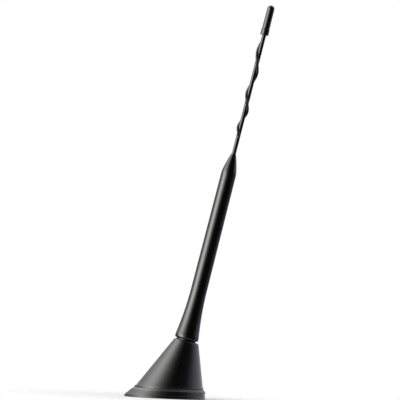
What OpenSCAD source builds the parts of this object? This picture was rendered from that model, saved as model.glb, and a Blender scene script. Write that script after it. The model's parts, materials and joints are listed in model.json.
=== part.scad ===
/* [Mast] */
// Lean of the mast towards the rear, from the roof's normal
mast_lean = 11.65; // [9:0.05:14]
// Length of the mast, from the foot's underside to the top of the cap
mast_len = 241.3; // [236:0.1:280]
// Length of the rubber body, from the foot's underside to the end of the nose
body_len = 134; // [130:0.5:140]
// Largest diameter of the foot
foot_d = 16.7; // [16:0.1:18]
// Height of the foot's widest ring above its underside
foot_ring_h = 2.6; // [2:0.1:4]
// Rounding of the foot's lower rim
foot_round = 1.3; // [0.8:0.1:1.5]
// Length over which the foot flares down from the body
flare_len = 35; // [25:1:45]
// Diameter of the body just above the flare
body_low_d = 11.3; // [10.8:0.1:12.4]
// Diameter of the body at the shoulder of the nose
body_top_d = 10.6; // [10:0.1:11.4]
// Length of the nose
nose_len = 12.8; // [10:0.2:16]
// Diameter of the end of the nose, round the rod
nose_end_d = 3.4; // [3.3:0.1:4]
// How far the nose swells out from a straight cone
nose_swell = 0.25; // [0:0.05:0.4]
// Diameter of the holes that the mould's locating pins leave
pin_hole_d = 1.4; // [1:0.1:1.8]
// Height of those holes above the foot's underside
pin_hole_h = 80.8; // [79.5:0.1:84]
// Direction of the first of those holes, from the left side round to the right
pin_hole_turn = -64.5; // [-90:0.5:0]
// Angle from one of those holes to the next
pin_hole_step = 108.5; // [90:0.5:120]
// Number of those holes
pin_hole_count = 3; // [1:1:3]
// Width of the vent notch across the foot's rim
notch_w = 0.7; // [0.4:0.1:1]
// Depth of that notch
notch_deep = 0.45; // [0.2:0.05:0.8]
// Direction of that notch
notch_turn = 32; // [0:1:60]

/* [Rod, sleeve and cap] */
// Diameter of the sleeved rod
rod_d = 2.9; // [2.8:0.05:3.1]
// Diameter of the steel rod in the sleeve
whip_d = 2; // [1.8:0.05:2.1]
// Height of the sleeve's spiral ridge
ridge_h = 1.3; // [0.8:0.05:1.35]
// Half the angle that the ridge takes up round the rod
ridge_half = 42; // [35:1:50]
// Pitch of the ridge where it is measured
ridge_pitch = 27.2; // [22:0.2:34]
// Growth of that pitch for each millimetre of height
ridge_gain = 0.0076; // [0.001:0.0001:0.009]
// Height where the pitch is measured, with the ridge on the left side
ridge_mid_h = 178; // [170:0.5:185]
// Height at which the ridge begins
ridge_low_h = 145.5; // [142:0.5:155]
// Length of bare rod between the ridge's end and the cap
ridge_stop = 2; // [1:0.5:6]
// Length over which the ridge fades in and out
ridge_fade = 5; // [2:0.5:8]
// Length of the tip cap
cap_len = 21.4; // [18:0.2:26]
// Diameter of the cap's skirt
cap_skirt_d = 5.8; // [5.5:0.1:6.4]
// Length of the cap's skirt
cap_skirt_len = 4.6; // [3:0.2:6]
// Diameter of the cap above its skirt
cap_d = 5.35; // [5:0.05:5.45]
// Diameter of the cap where its dome begins
cap_dome_d = 5.05; // [4.6:0.05:5.3]
// Height of the dome
cap_dome_h = 2.2; // [1.6:0.1:2.4]
// Thickness of the cap over the steel rod's end
cap_over = 4.2; // [3:0.1:6]

/* [Mast core] */
// Nominal diameter of the mast's thread
thread_d = 5; // [4:0.5:5.5]
// Pitch of the mast's thread
thread_pitch = 0.8; // [0.5:0.05:1]
// Turns from tight to free
thread_turns = 11; // [8:1:11]
// Diameter of the ferrule moulded into the foot
ferrule_d = 9.6; // [8.4:0.2:9.6]
// Length of that ferrule
ferrule_len = 11; // [10:0.5:14]
// Height of the lower of the two grooves that grip the rubber
ferrule_groove_h = 4; // [3:0.1:4.4]
// Distance from that groove to the upper one
ferrule_groove_step = 3.4; // [2.6:0.1:3.6]
// Width of those grooves
ferrule_groove_w = 1.4; // [1:0.1:1.8]
// Depth of those grooves
ferrule_groove_deep = 0.7; // [0.4:0.05:0.9]
// Diameter of the tube that carries the loading coil
former_d = 5.2; // [5:0.1:5.6]
// Wall of that tube
former_wall = 0.55; // [0.4:0.05:0.7]
// Thickness of the coil's wire
coil_wire_d = 0.8; // [0.6:0.05:0.9]
// Number of turns of the coil
coil_turns = 24; // [16:1:26]
// Length of bare tube at each end of the coil
coil_end_gap = 1.6; // [1.2:0.1:3]
// Length of the joints between the tube and its ferrules
spigot_len = 8; // [5:0.5:10]
// Height of the lower face of the rod's ferrule
rod_ferrule_h = 77.5; // [76:0.1:78.5]
// Diameter of the rod's ferrule
rod_ferrule_d = 6.8; // [6.4:0.1:7.4]
// Length of the thick part of that ferrule
rod_ferrule_len = 11.5; // [10:0.5:14]
// Diameter of its crimped neck
rod_neck_d = 5.2; // [4:0.1:5.6]
// Length of its crimped neck
rod_neck_len = 12; // [8:0.5:15]
// Length of rod that stands in the rod's ferrule
rod_held = 17; // [12:0.5:20]
// Length of sleeve that is moulded into the nose
sleeve_held = 12; // [8:0.5:14]

/* [Housing] */
// Height of the middle of the mast's seat above the roof
seat_h = 40.45; // [38:0.05:44]
// Distance of that middle behind the fixing screw
seat_x = 13.3; // [11:0.1:15]
// Diameter of the flat seat, inside its rounded edge
seat_flat_d = 15.2; // [14.4:0.1:16]
// Rounding of the seat's edge
seat_round = 1.5; // [0.8:0.1:1.8]
// Distance of the seat's middle behind the mast's axis
seat_shift = 0.4; // [0:0.05:0.6]
// Diameter of the housing's foot
housing_d = 47.9; // [46.5:0.1:48.5]
// Distance of the foot's middle behind the fixing screw
housing_x = 2.85; // [2:0.05:3.2]
// Wall of the housing
housing_wall = 2.2; // [1.8:0.1:2.6]
// Thickness of the housing under the mast's seat
seat_wall = 3.5; // [3:0.1:4.5]
// Height of the bead round the housing's foot
bead_h = 1.3; // [0.8:0.1:2]
// How far that bead stands out
bead_out = 0.25; // [0.1:0.05:0.4]
// Number of screws that hold the housing to its plate
screw_count = 3; // [3:1:4]
// Diameter of the housing's screw bosses
boss_d = 5.6; // [5.2:0.1:6.2]
// Height of those bosses
boss_h = 5.2; // [4.5:0.1:5.6]
// Thickness of the bosses over the screws' ends
boss_cover = 1; // [0.8:0.1:1.4]
// Distance of those bosses' middles inside the cavity's wall
boss_inset = 5.2; // [4.8:0.1:5.8]
// Thickness of the ribs that tie those bosses to the wall
boss_rib_t = 1.6; // [1:0.1:2]

/* [Gasket] */
// Height of the gasket, from the roof to the housing's foot
gasket_h = 6.6; // [6.2:0.1:8]
// How far the gasket's edge on the roof stands out round the housing's foot
gasket_out = 4.45; // [4.1:0.05:6]
// Height of the lip that seals on the roof
lip_h = 1.9; // [1.2:0.1:2.4]
// How far the top of that lip stands out round the housing's foot
lip_top_out = 4.05; // [3.75:0.05:5]
// Distance of the lip's top behind the fixing screw
lip_top_x = 0.55; // [0:0.05:1]
// How far the skirt steps in above the lip
lip_step = 0.35; // [0.1:0.05:0.6]
// Height of the gasket's upper edge
shoulder_h = 5; // [4:0.1:5.8]
// How far that upper edge stands out round the housing's foot
shoulder_out = 2.25; // [1.6:0.05:3]
// Distance of that upper edge's middle behind the fixing screw
shoulder_x = 2.4; // [1.8:0.1:2.8]
// Thickness of the gasket under the base plate
web_t = 1.6; // [1.2:0.1:2]
// Depth of the grooves between the sealing ribs
groove_deep = 0.7; // [0.4:0.1:0.9]
// Width of those grooves
groove_w = 1.6; // [1:0.1:1.8]
// Distance of the innermost sealing rib inside the gasket's edge
rib_inset = 8.9; // [7.9:0.1:8.9]
// Distance from one sealing rib to the next
rib_step = 3; // [2.4:0.1:3.2]
// Number of those grooves
groove_count = 3; // [1:1:3]

/* [Base plate] */
// Distance of the die-cast plate's edge inside the edge of the housing's foot
plate_inset = 2.95; // [2.65:0.05:3.4]
// Thickness of the plate's floor
floor_t = 2; // [1.8:0.1:2.4]
// Thickness of the plate's rim
rim_t = 2; // [1.5:0.1:2.5]
// Diameter of the boss that the fixing screw enters
fixing_boss_d = 12; // [10:0.5:13]
// Diameter of the fixing hole inside its thread
fixing_hole_d = 5; // [4.2:0.1:6.8]
// Depth of the fixing thread
fixing_deep = 8; // [6:0.5:8.5]
// Thickness of metal over the fixing thread
fixing_cover = 1.2; // [1:0.1:1.6]
// Diameter of the plate's bosses for the housing screws
plate_boss_d = 8.6; // [8:0.1:9]
// Diameter of the lead's hole in the plate
outlet_d = 6.6; // [6:0.1:7]
// Distance of that hole behind the fixing screw
outlet_x = 12; // [11.5:0.1:13]
// Diameter of the passage through the grommet
lead_d = 4.2; // [3:0.1:4.6]
// Width of the grommet's flanges round its hole
grommet_flange = 1.2; // [0.8:0.1:1.4]

/* [Amplifier] */
// Length of the circuit board
board_l = 26; // [24:0.5:26.5]
// Width of the circuit board
board_w = 21; // [20:0.5:22]
// Thickness of the circuit board
board_t = 1.6; // [1:0.1:2]
// Height of the board's underside above the roof
board_h = 10.2; // [10.2:0.1:11.5]
// Distance of the board's middle behind the fixing screw
board_x = 3.5; // [3:0.1:4.2]
// Distance of the board's screws from its edges
board_inset = 2.6; // [2.4:0.1:3]
// Rounding of the board's corners
board_corner_r = 1.3; // [0.5:0.1:2]
// Diameter of the board's posts
post_d = 5; // [4.6:0.1:5.2]
// Length of the screening can
can_l = 10; // [8:0.5:10.5]
// Width of the screening can
can_w = 12; // [10:0.5:14]
// Height of the screening can
can_h = 4.4; // [3.5:0.1:5]
// Thickness of the screening can's sheet
can_t = 0.4; // [0.3:0.05:0.5]
// Diameter of the filter coils
choke_d = 3.4; // [3:0.1:3.8]
// Height of the filter coils
choke_h = 3.2; // [2.5:0.1:4]
// Thickness of the filter coils' end discs
choke_disc = 0.55; // [0.4:0.05:0.7]
// Depth of the winding below the rim of those discs
choke_waist = 0.5; // [0.3:0.05:0.7]
// Distance of the filter coils behind the board's middle
choke_back = 4.8; // [4.4:0.1:5.2]
// Diameter of the capacitors
capacitor_d = 3; // [2.6:0.1:3.4]
// Height of the capacitors
capacitor_h = 4; // [3:0.1:5]
// Height of the capacitors' square feet
capacitor_foot_h = 0.8; // [0.5:0.1:1.2]
// Distance of the capacitors behind the board's middle
capacitor_back = 9.5; // [9.1:0.1:9.8]
// Distance of the coils and capacitors from the board's middle line
part_side = 4.2; // [3.9:0.1:4.6]

/* [Socket, nut and contact] */
// Diameter of the socket's flange
flange_d = 10; // [9.6:0.1:10.4]
// Diameter of the socket's outer thread
socket_d = 7; // [7:0.1:7.6]
// Length of the socket below the mast's seat
socket_len = 13.5; // [12.5:0.1:15]
// Metal left under the socket's threaded hole
socket_floor = 2; // [1.5:0.1:2.5]
// Width across the nut's flats
nut_af = 10; // [9.6:0.1:10.4]
// Thickness of the nut
nut_t = 3; // [2.5:0.1:3.5]
// Thickness of the contact strip
strip_t = 0.4; // [0.3:0.05:0.5]
// Width of the contact strip
strip_w = 4; // [3:0.1:4.5]
// Distance of the strip's bend from the mast's axis
strip_reach = 6.6; // [6.3:0.1:6.8]
// Length of the strip's soldered foot
strip_foot = 2.6; // [2:0.1:3]
// Height of the gap between the housing and the mast's foot
seal_t = 0.84; // [0.6:0.02:1.2]
// Outer diameter of the sealing ring in that gap
seal_d = 13.6; // [12.6:0.1:13.8]

/* [Screws] */
// Diameter of the housing screws
screw_d = 2.9; // [2.5:0.1:3.1]
// Diameter of the housing screws' heads
screw_head_d = 5.4; // [5:0.1:5.6]
// Height of the housing screws' heads
screw_head_h = 1.9; // [1.4:0.1:2.1]
// Width of the six-sided recess in those heads, across its corners
screw_recess_d = 2.6; // [2:0.1:3]
// Depth of that recess
screw_recess_deep = 1; // [0.6:0.1:1.2]
// Diameter of the board screws
board_screw_d = 2.2; // [1.8:0.1:2.5]
// Diameter of the board screws' heads
board_head_d = 4; // [3.6:0.1:4.4]
// Height of the board screws' heads
board_head_h = 1.4; // [1:0.1:1.8]
// Width of the six-sided recess in those heads, across its corners
board_recess_d = 1.9; // [1.4:0.1:2.2]
// Depth of that recess
board_recess_deep = 0.7; // [0.4:0.1:0.8]
// Length of the board screws below their heads
board_screw_len = 6; // [5:0.1:6.8]

/* [Clearances] */
// Gap round a piece that another is moulded on or crimped on
bond_gap = 0.04; // [0.02:0.01:0.06]
// Gap round a thread
thread_gap = 0.05; // [0.02:0.01:0.08]
// Gap round a piece that drops into its place
drop_gap = 0.15; // [0.1:0.05:0.2]

/* [Hidden] */

// Smoothness of turned and of lofted surfaces
$fn = 96;
loft_fn = 64;
// Thickness of the discs that a loft is stretched between
skin = 0.01;
// How far a cut runs past the surface it opens
past = 1;
// How far the contact strip runs in under its own eye
strip_lap = 1;

// Steps along the flare, the nose and the cap's dome, and round the foot's rim
flare_steps = 14;
nose_steps = 8;
dome_steps = 8;
rim_steps = 6;
round_steps = 5;
// Distance between the sleeve's rings, and how many sides of a ring lie on the ridge and off it
sleeve_step = 1.15;
ridge_sides = 8;
plain_sides = 11;
// Sides of the coil's wire, and the angle from one of its rings to the next
wire_sides = 6;
coil_step = 24;

// Colours of the photographed antenna and of the metals inside it
moulded_black = "#1b1c1e";
rubber_black = "#202123";
sleeve_black = "#161719";
steel_grey = "#9a9da1";
zinc_grey = "#8d9093";
brass_yellow = "#c2a45a";
copper_red = "#b5713f";
board_green = "#1f5a3a";
natural_plastic = "#d9d2c0";

// Turned radii
foot_r = foot_d / 2;
body_low_r = body_low_d / 2;
body_top_r = body_top_d / 2;
nose_end_r = nose_end_d / 2;
rod_r = rod_d / 2;

// Heights along the mast, from the foot's underside
nose_h = body_len - nose_len;
cap_h = mast_len - cap_len;
ridge_top_h = cap_h - ridge_stop;
sleeve_low_h = body_len - sleeve_held;
sleeve_top_h = cap_h + cap_skirt_len;
rod_neck_h = rod_ferrule_h + rod_ferrule_len;
rod_neck_top_h = rod_neck_h + rod_neck_len;
whip_low_h = rod_neck_top_h - rod_held;
whip_top_h = mast_len - cap_over;
stud_len = thread_turns * thread_pitch - drop_gap;

// Radii of the mast's core
former_r = former_d / 2;
former_bore_r = former_r - former_wall;
spigot_r = former_bore_r - bond_gap;
coil_r = (former_r + bond_gap + coil_wire_d / 2) / cos(coil_step / 2);
coil_low_h = ferrule_len + coil_end_gap;
coil_top_h = rod_ferrule_h - coil_end_gap;

// The housing's widest circle at its rounded seat, and its taper below it
seat_r = seat_flat_d / 2 + seat_round;
housing_r = housing_d / 2;
cavity_r = housing_r - housing_wall;
seat_drop = seat_h - gasket_h;
housing_taper = (housing_r - seat_flat_d / 2 - seat_round / 2) / seat_drop;
cavity_top_r = seat_flat_d / 2 + seat_round / 2 + seat_wall * housing_taper - housing_wall;

// Rings of the gasket and the plate's edge, all set out from the housing's foot
gasket_d = housing_d + 2 * gasket_out;
lip_top_d = housing_d + 2 * lip_top_out;
shoulder_d = housing_d + 2 * shoulder_out;
rib_first_d = gasket_d - 2 * rib_inset;
plate_d = housing_d - 2 * plate_inset;

// Places in the base
plate_top = gasket_h;
floor_top = web_t + floor_t;
board_top = board_h + board_t;
boss_ring_r = cavity_r - boss_inset;
screw_seat_h = web_t + screw_head_h + drop_gap;
screw_top_h = plate_top + boss_h - boss_cover;
board_screw_x = board_l / 2 - board_inset;
board_screw_y = board_w / 2 - board_inset;
can_x = board_x - board_l / 2 + can_l / 2 + board_inset + board_head_d / 2;

// A point in the plane of symmetry, from its height along the mast's axis
// over the seat and its distance behind that axis, as its X and Z
function seat_point(up, back) = [
    seat_x + up * sin(mast_lean) + back * cos(mast_lean),
    seat_h + up * cos(mast_lean) - back * sin(mast_lean)
];

// Places children, drawn upright, on the mast's seat
module on_seat() {
    translate([seat_x, 0, seat_h]) rotate([0, mast_lean, 0]) children();
}

// Places children, drawn upright, at the underside of the mast's foot
module on_mast() {
    on_seat() translate([0, 0, seal_t]) children();
}

// A slab between a circle at one height and a circle at another
module loft(low_x, low_d, low_z, top_x, top_d, top_z) {
    hull() {
        translate([low_x, 0, low_z]) cylinder(d = low_d, h = skin, $fn = loft_fn);
        translate([top_x, 0, top_z - skin]) cylinder(d = top_d, h = skin, $fn = loft_fn);
    }
}

// A ring with a plain hole
module ring(outer_d, inner_d, height) {
    difference() {
        cylinder(d = outer_d, h = height);
        translate([0, 0, -past]) cylinder(d = inner_d, h = height + 2 * past);
    }
}

// Places children at each housing screw, the first at the front
module at_housing_screws() {
    for (i = [0:screw_count - 1])
        translate([housing_x, 0, 0])
            rotate([0, 0, 180 + i * 360 / screw_count])
                translate([boss_ring_r, 0, 0]) children();
}

// Places children at each board screw
module at_board_screws() {
    for (x = [-board_screw_x, board_screw_x])
        for (y = [-board_screw_y, board_screw_y])
            translate([board_x + x, y, 0]) children();
}

// Rubber gasket: a flared skirt with a lip, a pocket for the plate, and sealing ribs below
module base_gasket() {
    color(rubber_black) difference() {
        union() {
            loft(0, gasket_d, 0, lip_top_x, lip_top_d, lip_h);
            loft(lip_top_x, lip_top_d - 2 * lip_step, lip_h - skin, shoulder_x, shoulder_d, shoulder_h);
            loft(shoulder_x, shoulder_d, shoulder_h - skin,
                housing_x, housing_d + 2 * bead_out, gasket_h);
        }
        translate([housing_x, 0, web_t]) cylinder(d = plate_d + 2 * drop_gap, h = gasket_h);
        translate([0, 0, -past]) cylinder(d = fixing_boss_d + 2 * drop_gap, h = gasket_h);
        translate([outlet_x, 0, -past])
            cylinder(d = outlet_d + 2 * grommet_flange + 2 * drop_gap, h = gasket_h);
        for (i = [0:groove_count - 1])
            sealing_groove(rib_first_d + 2 * rib_step * i);
    }
}

// Groove in the gasket's underside, just outside a sealing rib
module sealing_groove(inner_d) {
    translate([0, 0, -past])
        ring(inner_d + 2 * groove_w, inner_d, groove_deep + past);
}

// Die-cast plate: a tray with a rim, the fixing boss, screw bosses and board posts
module base_plate() {
    color(zinc_grey) difference() {
        union() {
            translate([housing_x, 0, web_t]) cylinder(d = plate_d, h = floor_t);
            translate([housing_x, 0, web_t])
                ring(plate_d, plate_d - 2 * rim_t, plate_top - web_t);
            cylinder(d = fixing_boss_d, h = fixing_deep + fixing_cover);
            at_housing_screws()
                translate([0, 0, web_t]) cylinder(d = plate_boss_d, h = plate_top - web_t);
            at_board_screws()
                translate([0, 0, web_t]) cylinder(d = post_d, h = board_h - web_t);
        }
        translate([0, 0, -past]) cylinder(d = fixing_hole_d, h = fixing_deep + past);
        translate([outlet_x, 0, 0]) cylinder(d = outlet_d, h = gasket_h);
        at_housing_screws() {
            translate([0, 0, web_t - past])
                cylinder(d = screw_head_d + 2 * drop_gap, h = screw_seat_h - web_t + past);
            cylinder(d = screw_d + 2 * drop_gap, h = plate_top + past);
        }
        at_board_screws()
            translate([0, 0, board_top - board_screw_len - drop_gap])
                cylinder(d = board_screw_d + 2 * thread_gap, h = board_h);
    }
}

// Rubber grommet that the lead passes through, clipped into the plate's floor
module lead_grommet() {
    bore_r = lead_d / 2;
    neck_r = outlet_d / 2 - drop_gap;
    flange_r = neck_r + grommet_flange;
    low = drop_gap;
    low_flange = web_t - drop_gap / 2;
    top_flange = floor_top + drop_gap / 2;
    top = top_flange + grommet_flange;
    color(rubber_black) translate([outlet_x, 0, 0]) rotate_extrude() polygon([
        [bore_r, low], [flange_r, low], [flange_r, low_flange], [neck_r, low_flange],
        [neck_r, top_flange], [flange_r, top_flange], [neck_r, top], [bore_r, top]
    ]);
}

// Screw with a round head, its head and the six-sided recess in it at the bottom
module pan_screw(shank_d, shank_len, head_d, head_h, recess_d, recess_deep) {
    difference() {
        union() {
            cylinder(d = head_d, h = head_h);
            translate([0, 0, head_h]) cylinder(d = shank_d, h = shank_len);
        }
        translate([0, 0, -past]) cylinder(d = recess_d, h = past + recess_deep, $fn = 6);
    }
}

// Screws that hold the housing down on the plate, driven from below
module housing_screws() {
    color(steel_grey) at_housing_screws()
        translate([0, 0, screw_seat_h - screw_head_h])
            pan_screw(screw_d, screw_top_h - screw_seat_h - drop_gap,
                screw_head_d, screw_head_h, screw_recess_d, screw_recess_deep);
}

// The housing's outer form: a leaning cone with a rounded seat for the mast
module housing_form() {
    hull() {
        translate([housing_x, 0, gasket_h]) cylinder(r = housing_r, h = skin, $fn = loft_fn);
        on_seat() translate([seat_shift, 0, 0]) rotate_extrude($fn = loft_fn) polygon(concat(
            [[0, -seat_round - skin], [seat_r, -seat_round - skin]],
            [for (i = [0:round_steps]) let (turn = 90 * i / round_steps) [
                seat_flat_d / 2 + seat_round * cos(turn),
                seat_round * (sin(turn) - 1)
            ]],
            [[0, 0]]
        ));
    }
}

// The space inside the housing, or a form that lies so much nearer its outside
module housing_space(nearer = 0) {
    hull() {
        translate([housing_x, 0, gasket_h - (nearer ? 0 : past)])
            cylinder(r = cavity_r + nearer, h = past, $fn = loft_fn);
        on_seat() translate([0, 0, -seat_wall - skin])
            cylinder(r = cavity_top_r + nearer, h = skin, $fn = loft_fn);
    }
}

// Screw bosses, each tied to the housing's wall by a rib
module housing_bosses() {
    intersection() {
        housing_space(housing_wall / 2);
        at_housing_screws() translate([0, 0, plate_top]) {
            cylinder(d = boss_d, h = boss_h);
            translate([0, -boss_rib_t / 2, 0]) cube([housing_r, boss_rib_t, boss_h]);
        }
    }
}

// Moulded housing: a thin leaning cone with a bead at its foot and bosses for its screws
module base_housing() {
    color(moulded_black) difference() {
        union() {
            difference() {
                union() {
                    housing_form();
                    loft(housing_x, housing_d + 2 * bead_out, gasket_h,
                        housing_x + bead_out, housing_d + bead_out, gasket_h + bead_h);
                }
                housing_space();
            }
            housing_bosses();
        }
        at_housing_screws()
            translate([0, 0, plate_top - past])
                cylinder(d = screw_d + 2 * thread_gap, h = screw_top_h - plate_top + past);
        on_seat() translate([0, 0, -seat_wall - past])
            cylinder(d = socket_d + 2 * drop_gap, h = seat_wall + 2 * past);
    }
}

// Circuit board of the amplifier
module amplifier_board() {
    color(board_green) difference() {
        translate([board_x, 0, board_h]) linear_extrude(board_t) difference() {
            square([board_l, board_w], center = true);
            for (x = [-1, 1])
                for (y = [-1, 1])
                    translate([x * board_l / 2, y * board_w / 2]) board_corner(x, y);
        }
        at_board_screws()
            translate([0, 0, board_h - past])
                cylinder(d = board_screw_d + 2 * drop_gap, h = board_t + 2 * past);
    }
}

// What a rounded corner takes off the board, with the corner at the origin
module board_corner(x, y) {
    difference() {
        square(2 * board_corner_r, center = true);
        translate([-x * board_corner_r, -y * board_corner_r]) circle(r = board_corner_r);
    }
}

// Screws that hold the board down on the plate's posts
module board_screws() {
    color(steel_grey) at_board_screws()
        translate([0, 0, board_top + board_head_h]) mirror([0, 0, 1])
            pan_screw(board_screw_d, board_screw_len,
                board_head_d, board_head_h, board_recess_d, board_recess_deep);
}

// Folded sheet can over the amplifier's first stage
module screening_can() {
    color(steel_grey) translate([can_x, 0, board_top]) difference() {
        translate([-can_l / 2, -can_w / 2, 0]) cube([can_l, can_w, can_h]);
        translate([can_t - can_l / 2, can_t - can_w / 2, -past])
            cube([can_l - 2 * can_t, can_w - 2 * can_t, can_h - can_t + past]);
    }
}

// Places children on the board on both sides of its middle line
module at_board_sides(back) {
    for (side = [-1, 1])
        translate([board_x + back, side * part_side, board_top]) children();
}

// Wound filter coils on drum cores
module filter_coils() {
    disc_r = choke_d / 2;
    winding_r = disc_r - choke_waist;
    color(copper_red) at_board_sides(choke_back) rotate_extrude() polygon([
        [0, 0], [disc_r, 0], [disc_r, choke_disc], [winding_r, choke_disc],
        [winding_r, choke_h - choke_disc], [disc_r, choke_h - choke_disc], [disc_r, choke_h],
        [0, choke_h]
    ]);
}

// Capacitor cans with their square feet
module board_capacitors() {
    color(steel_grey) at_board_sides(capacitor_back) {
        translate([-capacitor_d / 2, -capacitor_d / 2, 0])
            cube([capacitor_d, capacitor_d, capacitor_foot_h]);
        cylinder(d = capacitor_d, h = capacitor_h);
    }
}

// Turned socket that the mast screws into, with a flange on the housing's seat
module mast_socket() {
    color(brass_yellow) on_seat() difference() {
        union() {
            cylinder(d = flange_d, h = seal_t);
            translate([0, 0, -socket_len]) cylinder(d = socket_d, h = socket_len + skin);
        }
        translate([0, 0, socket_floor - socket_len]) cylinder(d = thread_d, h = 2 * socket_len);
    }
}

// Hexagon nut that clamps the socket and the contact strip to the housing
module socket_nut() {
    color(steel_grey) on_seat()
        translate([0, 0, -seat_wall - strip_t - nut_t]) difference() {
            rotate([0, 0, 30]) cylinder(d = nut_af / cos(30), h = nut_t, $fn = 6);
            translate([0, 0, -past]) cylinder(d = socket_d + 2 * thread_gap, h = nut_t + 2 * past);
        }
}

// Bent strip that joins the socket to the board, with an eye round the socket
module contact_strip() {
    corner = seat_point(-seat_wall, -strip_reach);
    bend = strip_t * (1 + sin(mast_lean)) / cos(mast_lean);
    color(brass_yellow) {
        on_seat() translate([0, 0, -seat_wall - strip_t])
            ring(nut_af, socket_d + 2 * thread_gap, strip_t);
        rotate([90, 0, 0]) linear_extrude(strip_w, center = true) polygon([
            corner, [corner.x, board_top], [corner.x + strip_foot, board_top],
            [corner.x + strip_foot, board_top + strip_t], [corner.x + strip_t, board_top + strip_t],
            seat_point(-seat_wall - strip_t, bend - strip_reach),
            seat_point(-seat_wall - strip_t, strip_lap - nut_af / 2),
            seat_point(-seat_wall, strip_lap - nut_af / 2)
        ]);
    }
}

// Flat sealing ring between the housing and the mast's foot
module foot_seal() {
    color(rubber_black) on_seat() ring(seal_d, flange_d + 2 * drop_gap, seal_t);
}

// Turned stud and the ferrule that the foot is moulded on
module mast_stud() {
    color(brass_yellow) on_mast() {
        difference() {
            cylinder(d = ferrule_d, h = ferrule_len);
            for (level = [ferrule_groove_h, ferrule_groove_h + ferrule_groove_step])
                translate([0, 0, level])
                    ring(ferrule_d + 2 * past, ferrule_d - 2 * ferrule_groove_deep, ferrule_groove_w);
        }
        translate([0, 0, -stud_len])
            cylinder(d = thread_d - 2 * thread_gap, h = stud_len + skin);
        translate([0, 0, ferrule_len - skin]) cylinder(r = spigot_r, h = spigot_len + skin);
    }
}

// Plastic tube that the coil is wound on, between the two ferrules
module coil_former() {
    color(natural_plastic) on_mast() translate([0, 0, ferrule_len])
        ring(former_d, 2 * former_bore_r, rod_ferrule_h - ferrule_len);
}

// Points of the coil's wire: one ring of points for each step along its winding
function coil_ring(i, steps) = let (
    turn = 360 * coil_turns * i / steps,
    up = coil_low_h + (coil_top_h - coil_low_h) * i / steps
) [for (k = [0:wire_sides - 1]) let (
    a = 360 * k / wire_sides,
    out = coil_r + coil_wire_d / 2 * cos(a)
) [out * cos(turn), out * sin(turn), up + coil_wire_d / 2 * sin(a)]];

// Faces of a tube from rings of points, each ring counted anticlockwise seen from its start
function tube_faces(rings, sides) = concat(
    [[for (k = [0:sides - 1]) k]],
    [[for (k = [sides - 1:-1:0]) (rings - 1) * sides + k]],
    [for (i = [0:rings - 2]) for (k = [0:sides - 1]) let (
        a = i * sides + k,
        b = i * sides + (k + 1) % sides
    ) each [[a, a + sides, b], [b, a + sides, b + sides]]]
);

// Loading coil: one length of wire wound round its tube
module loading_coil() {
    steps = coil_turns * 360 / coil_step;
    points = [for (i = [0:steps]) each coil_ring(i, steps)];
    color(copper_red) on_mast() polyhedron(points, tube_faces(steps + 1, wire_sides), 4);
}

// Ferrule that joins the coil's tube to the steel rod
module rod_ferrule() {
    color(brass_yellow) on_mast() difference() {
        union() {
            translate([0, 0, rod_ferrule_h - spigot_len])
                cylinder(r = spigot_r, h = spigot_len + skin);
            translate([0, 0, rod_ferrule_h]) cylinder(d = rod_ferrule_d, h = rod_ferrule_len);
            translate([0, 0, rod_neck_h - skin]) cylinder(d = rod_neck_d, h = rod_neck_len + skin);
        }
        translate([0, 0, whip_low_h]) cylinder(d = whip_d + 2 * bond_gap, h = rod_held + past);
    }
}

// Steel rod, from its ferrule up into the tip cap
module whip_rod() {
    color(steel_grey) on_mast() translate([0, 0, whip_low_h])
        cylinder(d = whip_d, h = whip_top_h - whip_low_h);
}

// Outline of the mast's rubber body, from its underside to the end of its nose
function body_outline() = concat(
    [for (i = [0:rim_steps]) let (turn = 90 * i / rim_steps) [
        foot_r + foot_round * (sin(turn) - 1),
        foot_round * (1 - cos(turn))
    ]],
    [for (i = [0:flare_steps]) let (left = 1 - i / flare_steps) [
        body_low_r + (foot_r - body_low_r) * left * left,
        foot_ring_h + flare_len * i / flare_steps
    ]],
    [[body_top_r, nose_h]],
    [for (i = [1:nose_steps]) let (
        along = i / nose_steps,
        shoulder_r = body_top_r - nose_swell / 2
    ) [
        shoulder_r + (nose_end_r - shoulder_r) * along + 4 * nose_swell * along * (1 - along),
        nose_h + nose_len * along
    ]]
);

// The space that the ferrules, the coil and the sleeve fill in the body
function body_bore() = let (
    ferrule_r = ferrule_d / 2 + bond_gap,
    winding_r = coil_r + coil_wire_d / 2 + drop_gap,
    rod_ferrule_r = rod_ferrule_d / 2 + bond_gap,
    neck_r = rod_neck_d / 2 + bond_gap,
    whip_r = whip_d / 2 + bond_gap,
    sleeve_r = rod_r + bond_gap
) [
    [0, -past], [ferrule_r, -past], [ferrule_r, ferrule_len + bond_gap],
    [winding_r, ferrule_len + bond_gap], [winding_r, rod_ferrule_h - bond_gap],
    [rod_ferrule_r, rod_ferrule_h - bond_gap], [rod_ferrule_r, rod_neck_h + bond_gap],
    [neck_r, rod_neck_h + bond_gap], [neck_r, rod_neck_top_h + bond_gap],
    [whip_r, rod_neck_top_h + bond_gap], [whip_r, sleeve_low_h - bond_gap],
    [sleeve_r, sleeve_low_h - bond_gap], [sleeve_r, body_len + past], [0, body_len + past]
];

// Rubber body of the mast, moulded round its core
module mast_body() {
    color(rubber_black) on_mast() difference() {
        rotate_extrude() polygon(concat(body_outline(), [[0, body_len], [0, 0]]));
        rotate_extrude() polygon(body_bore());
        for (i = [0:pin_hole_count - 1])
            rotate([0, 0, pin_hole_turn - 90 + i * pin_hole_step])
                translate([rod_ferrule_d / 2 - past, 0, pin_hole_h])
                    rotate([0, 90, 0]) cylinder(d = pin_hole_d, h = body_low_d, $fn = 24);
        rotate([0, 0, notch_turn - 90])
            translate([foot_r - notch_deep, -notch_w / 2, -past])
                cube([foot_r, notch_w, foot_ring_h + 2 * past]);
    }
}

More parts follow.
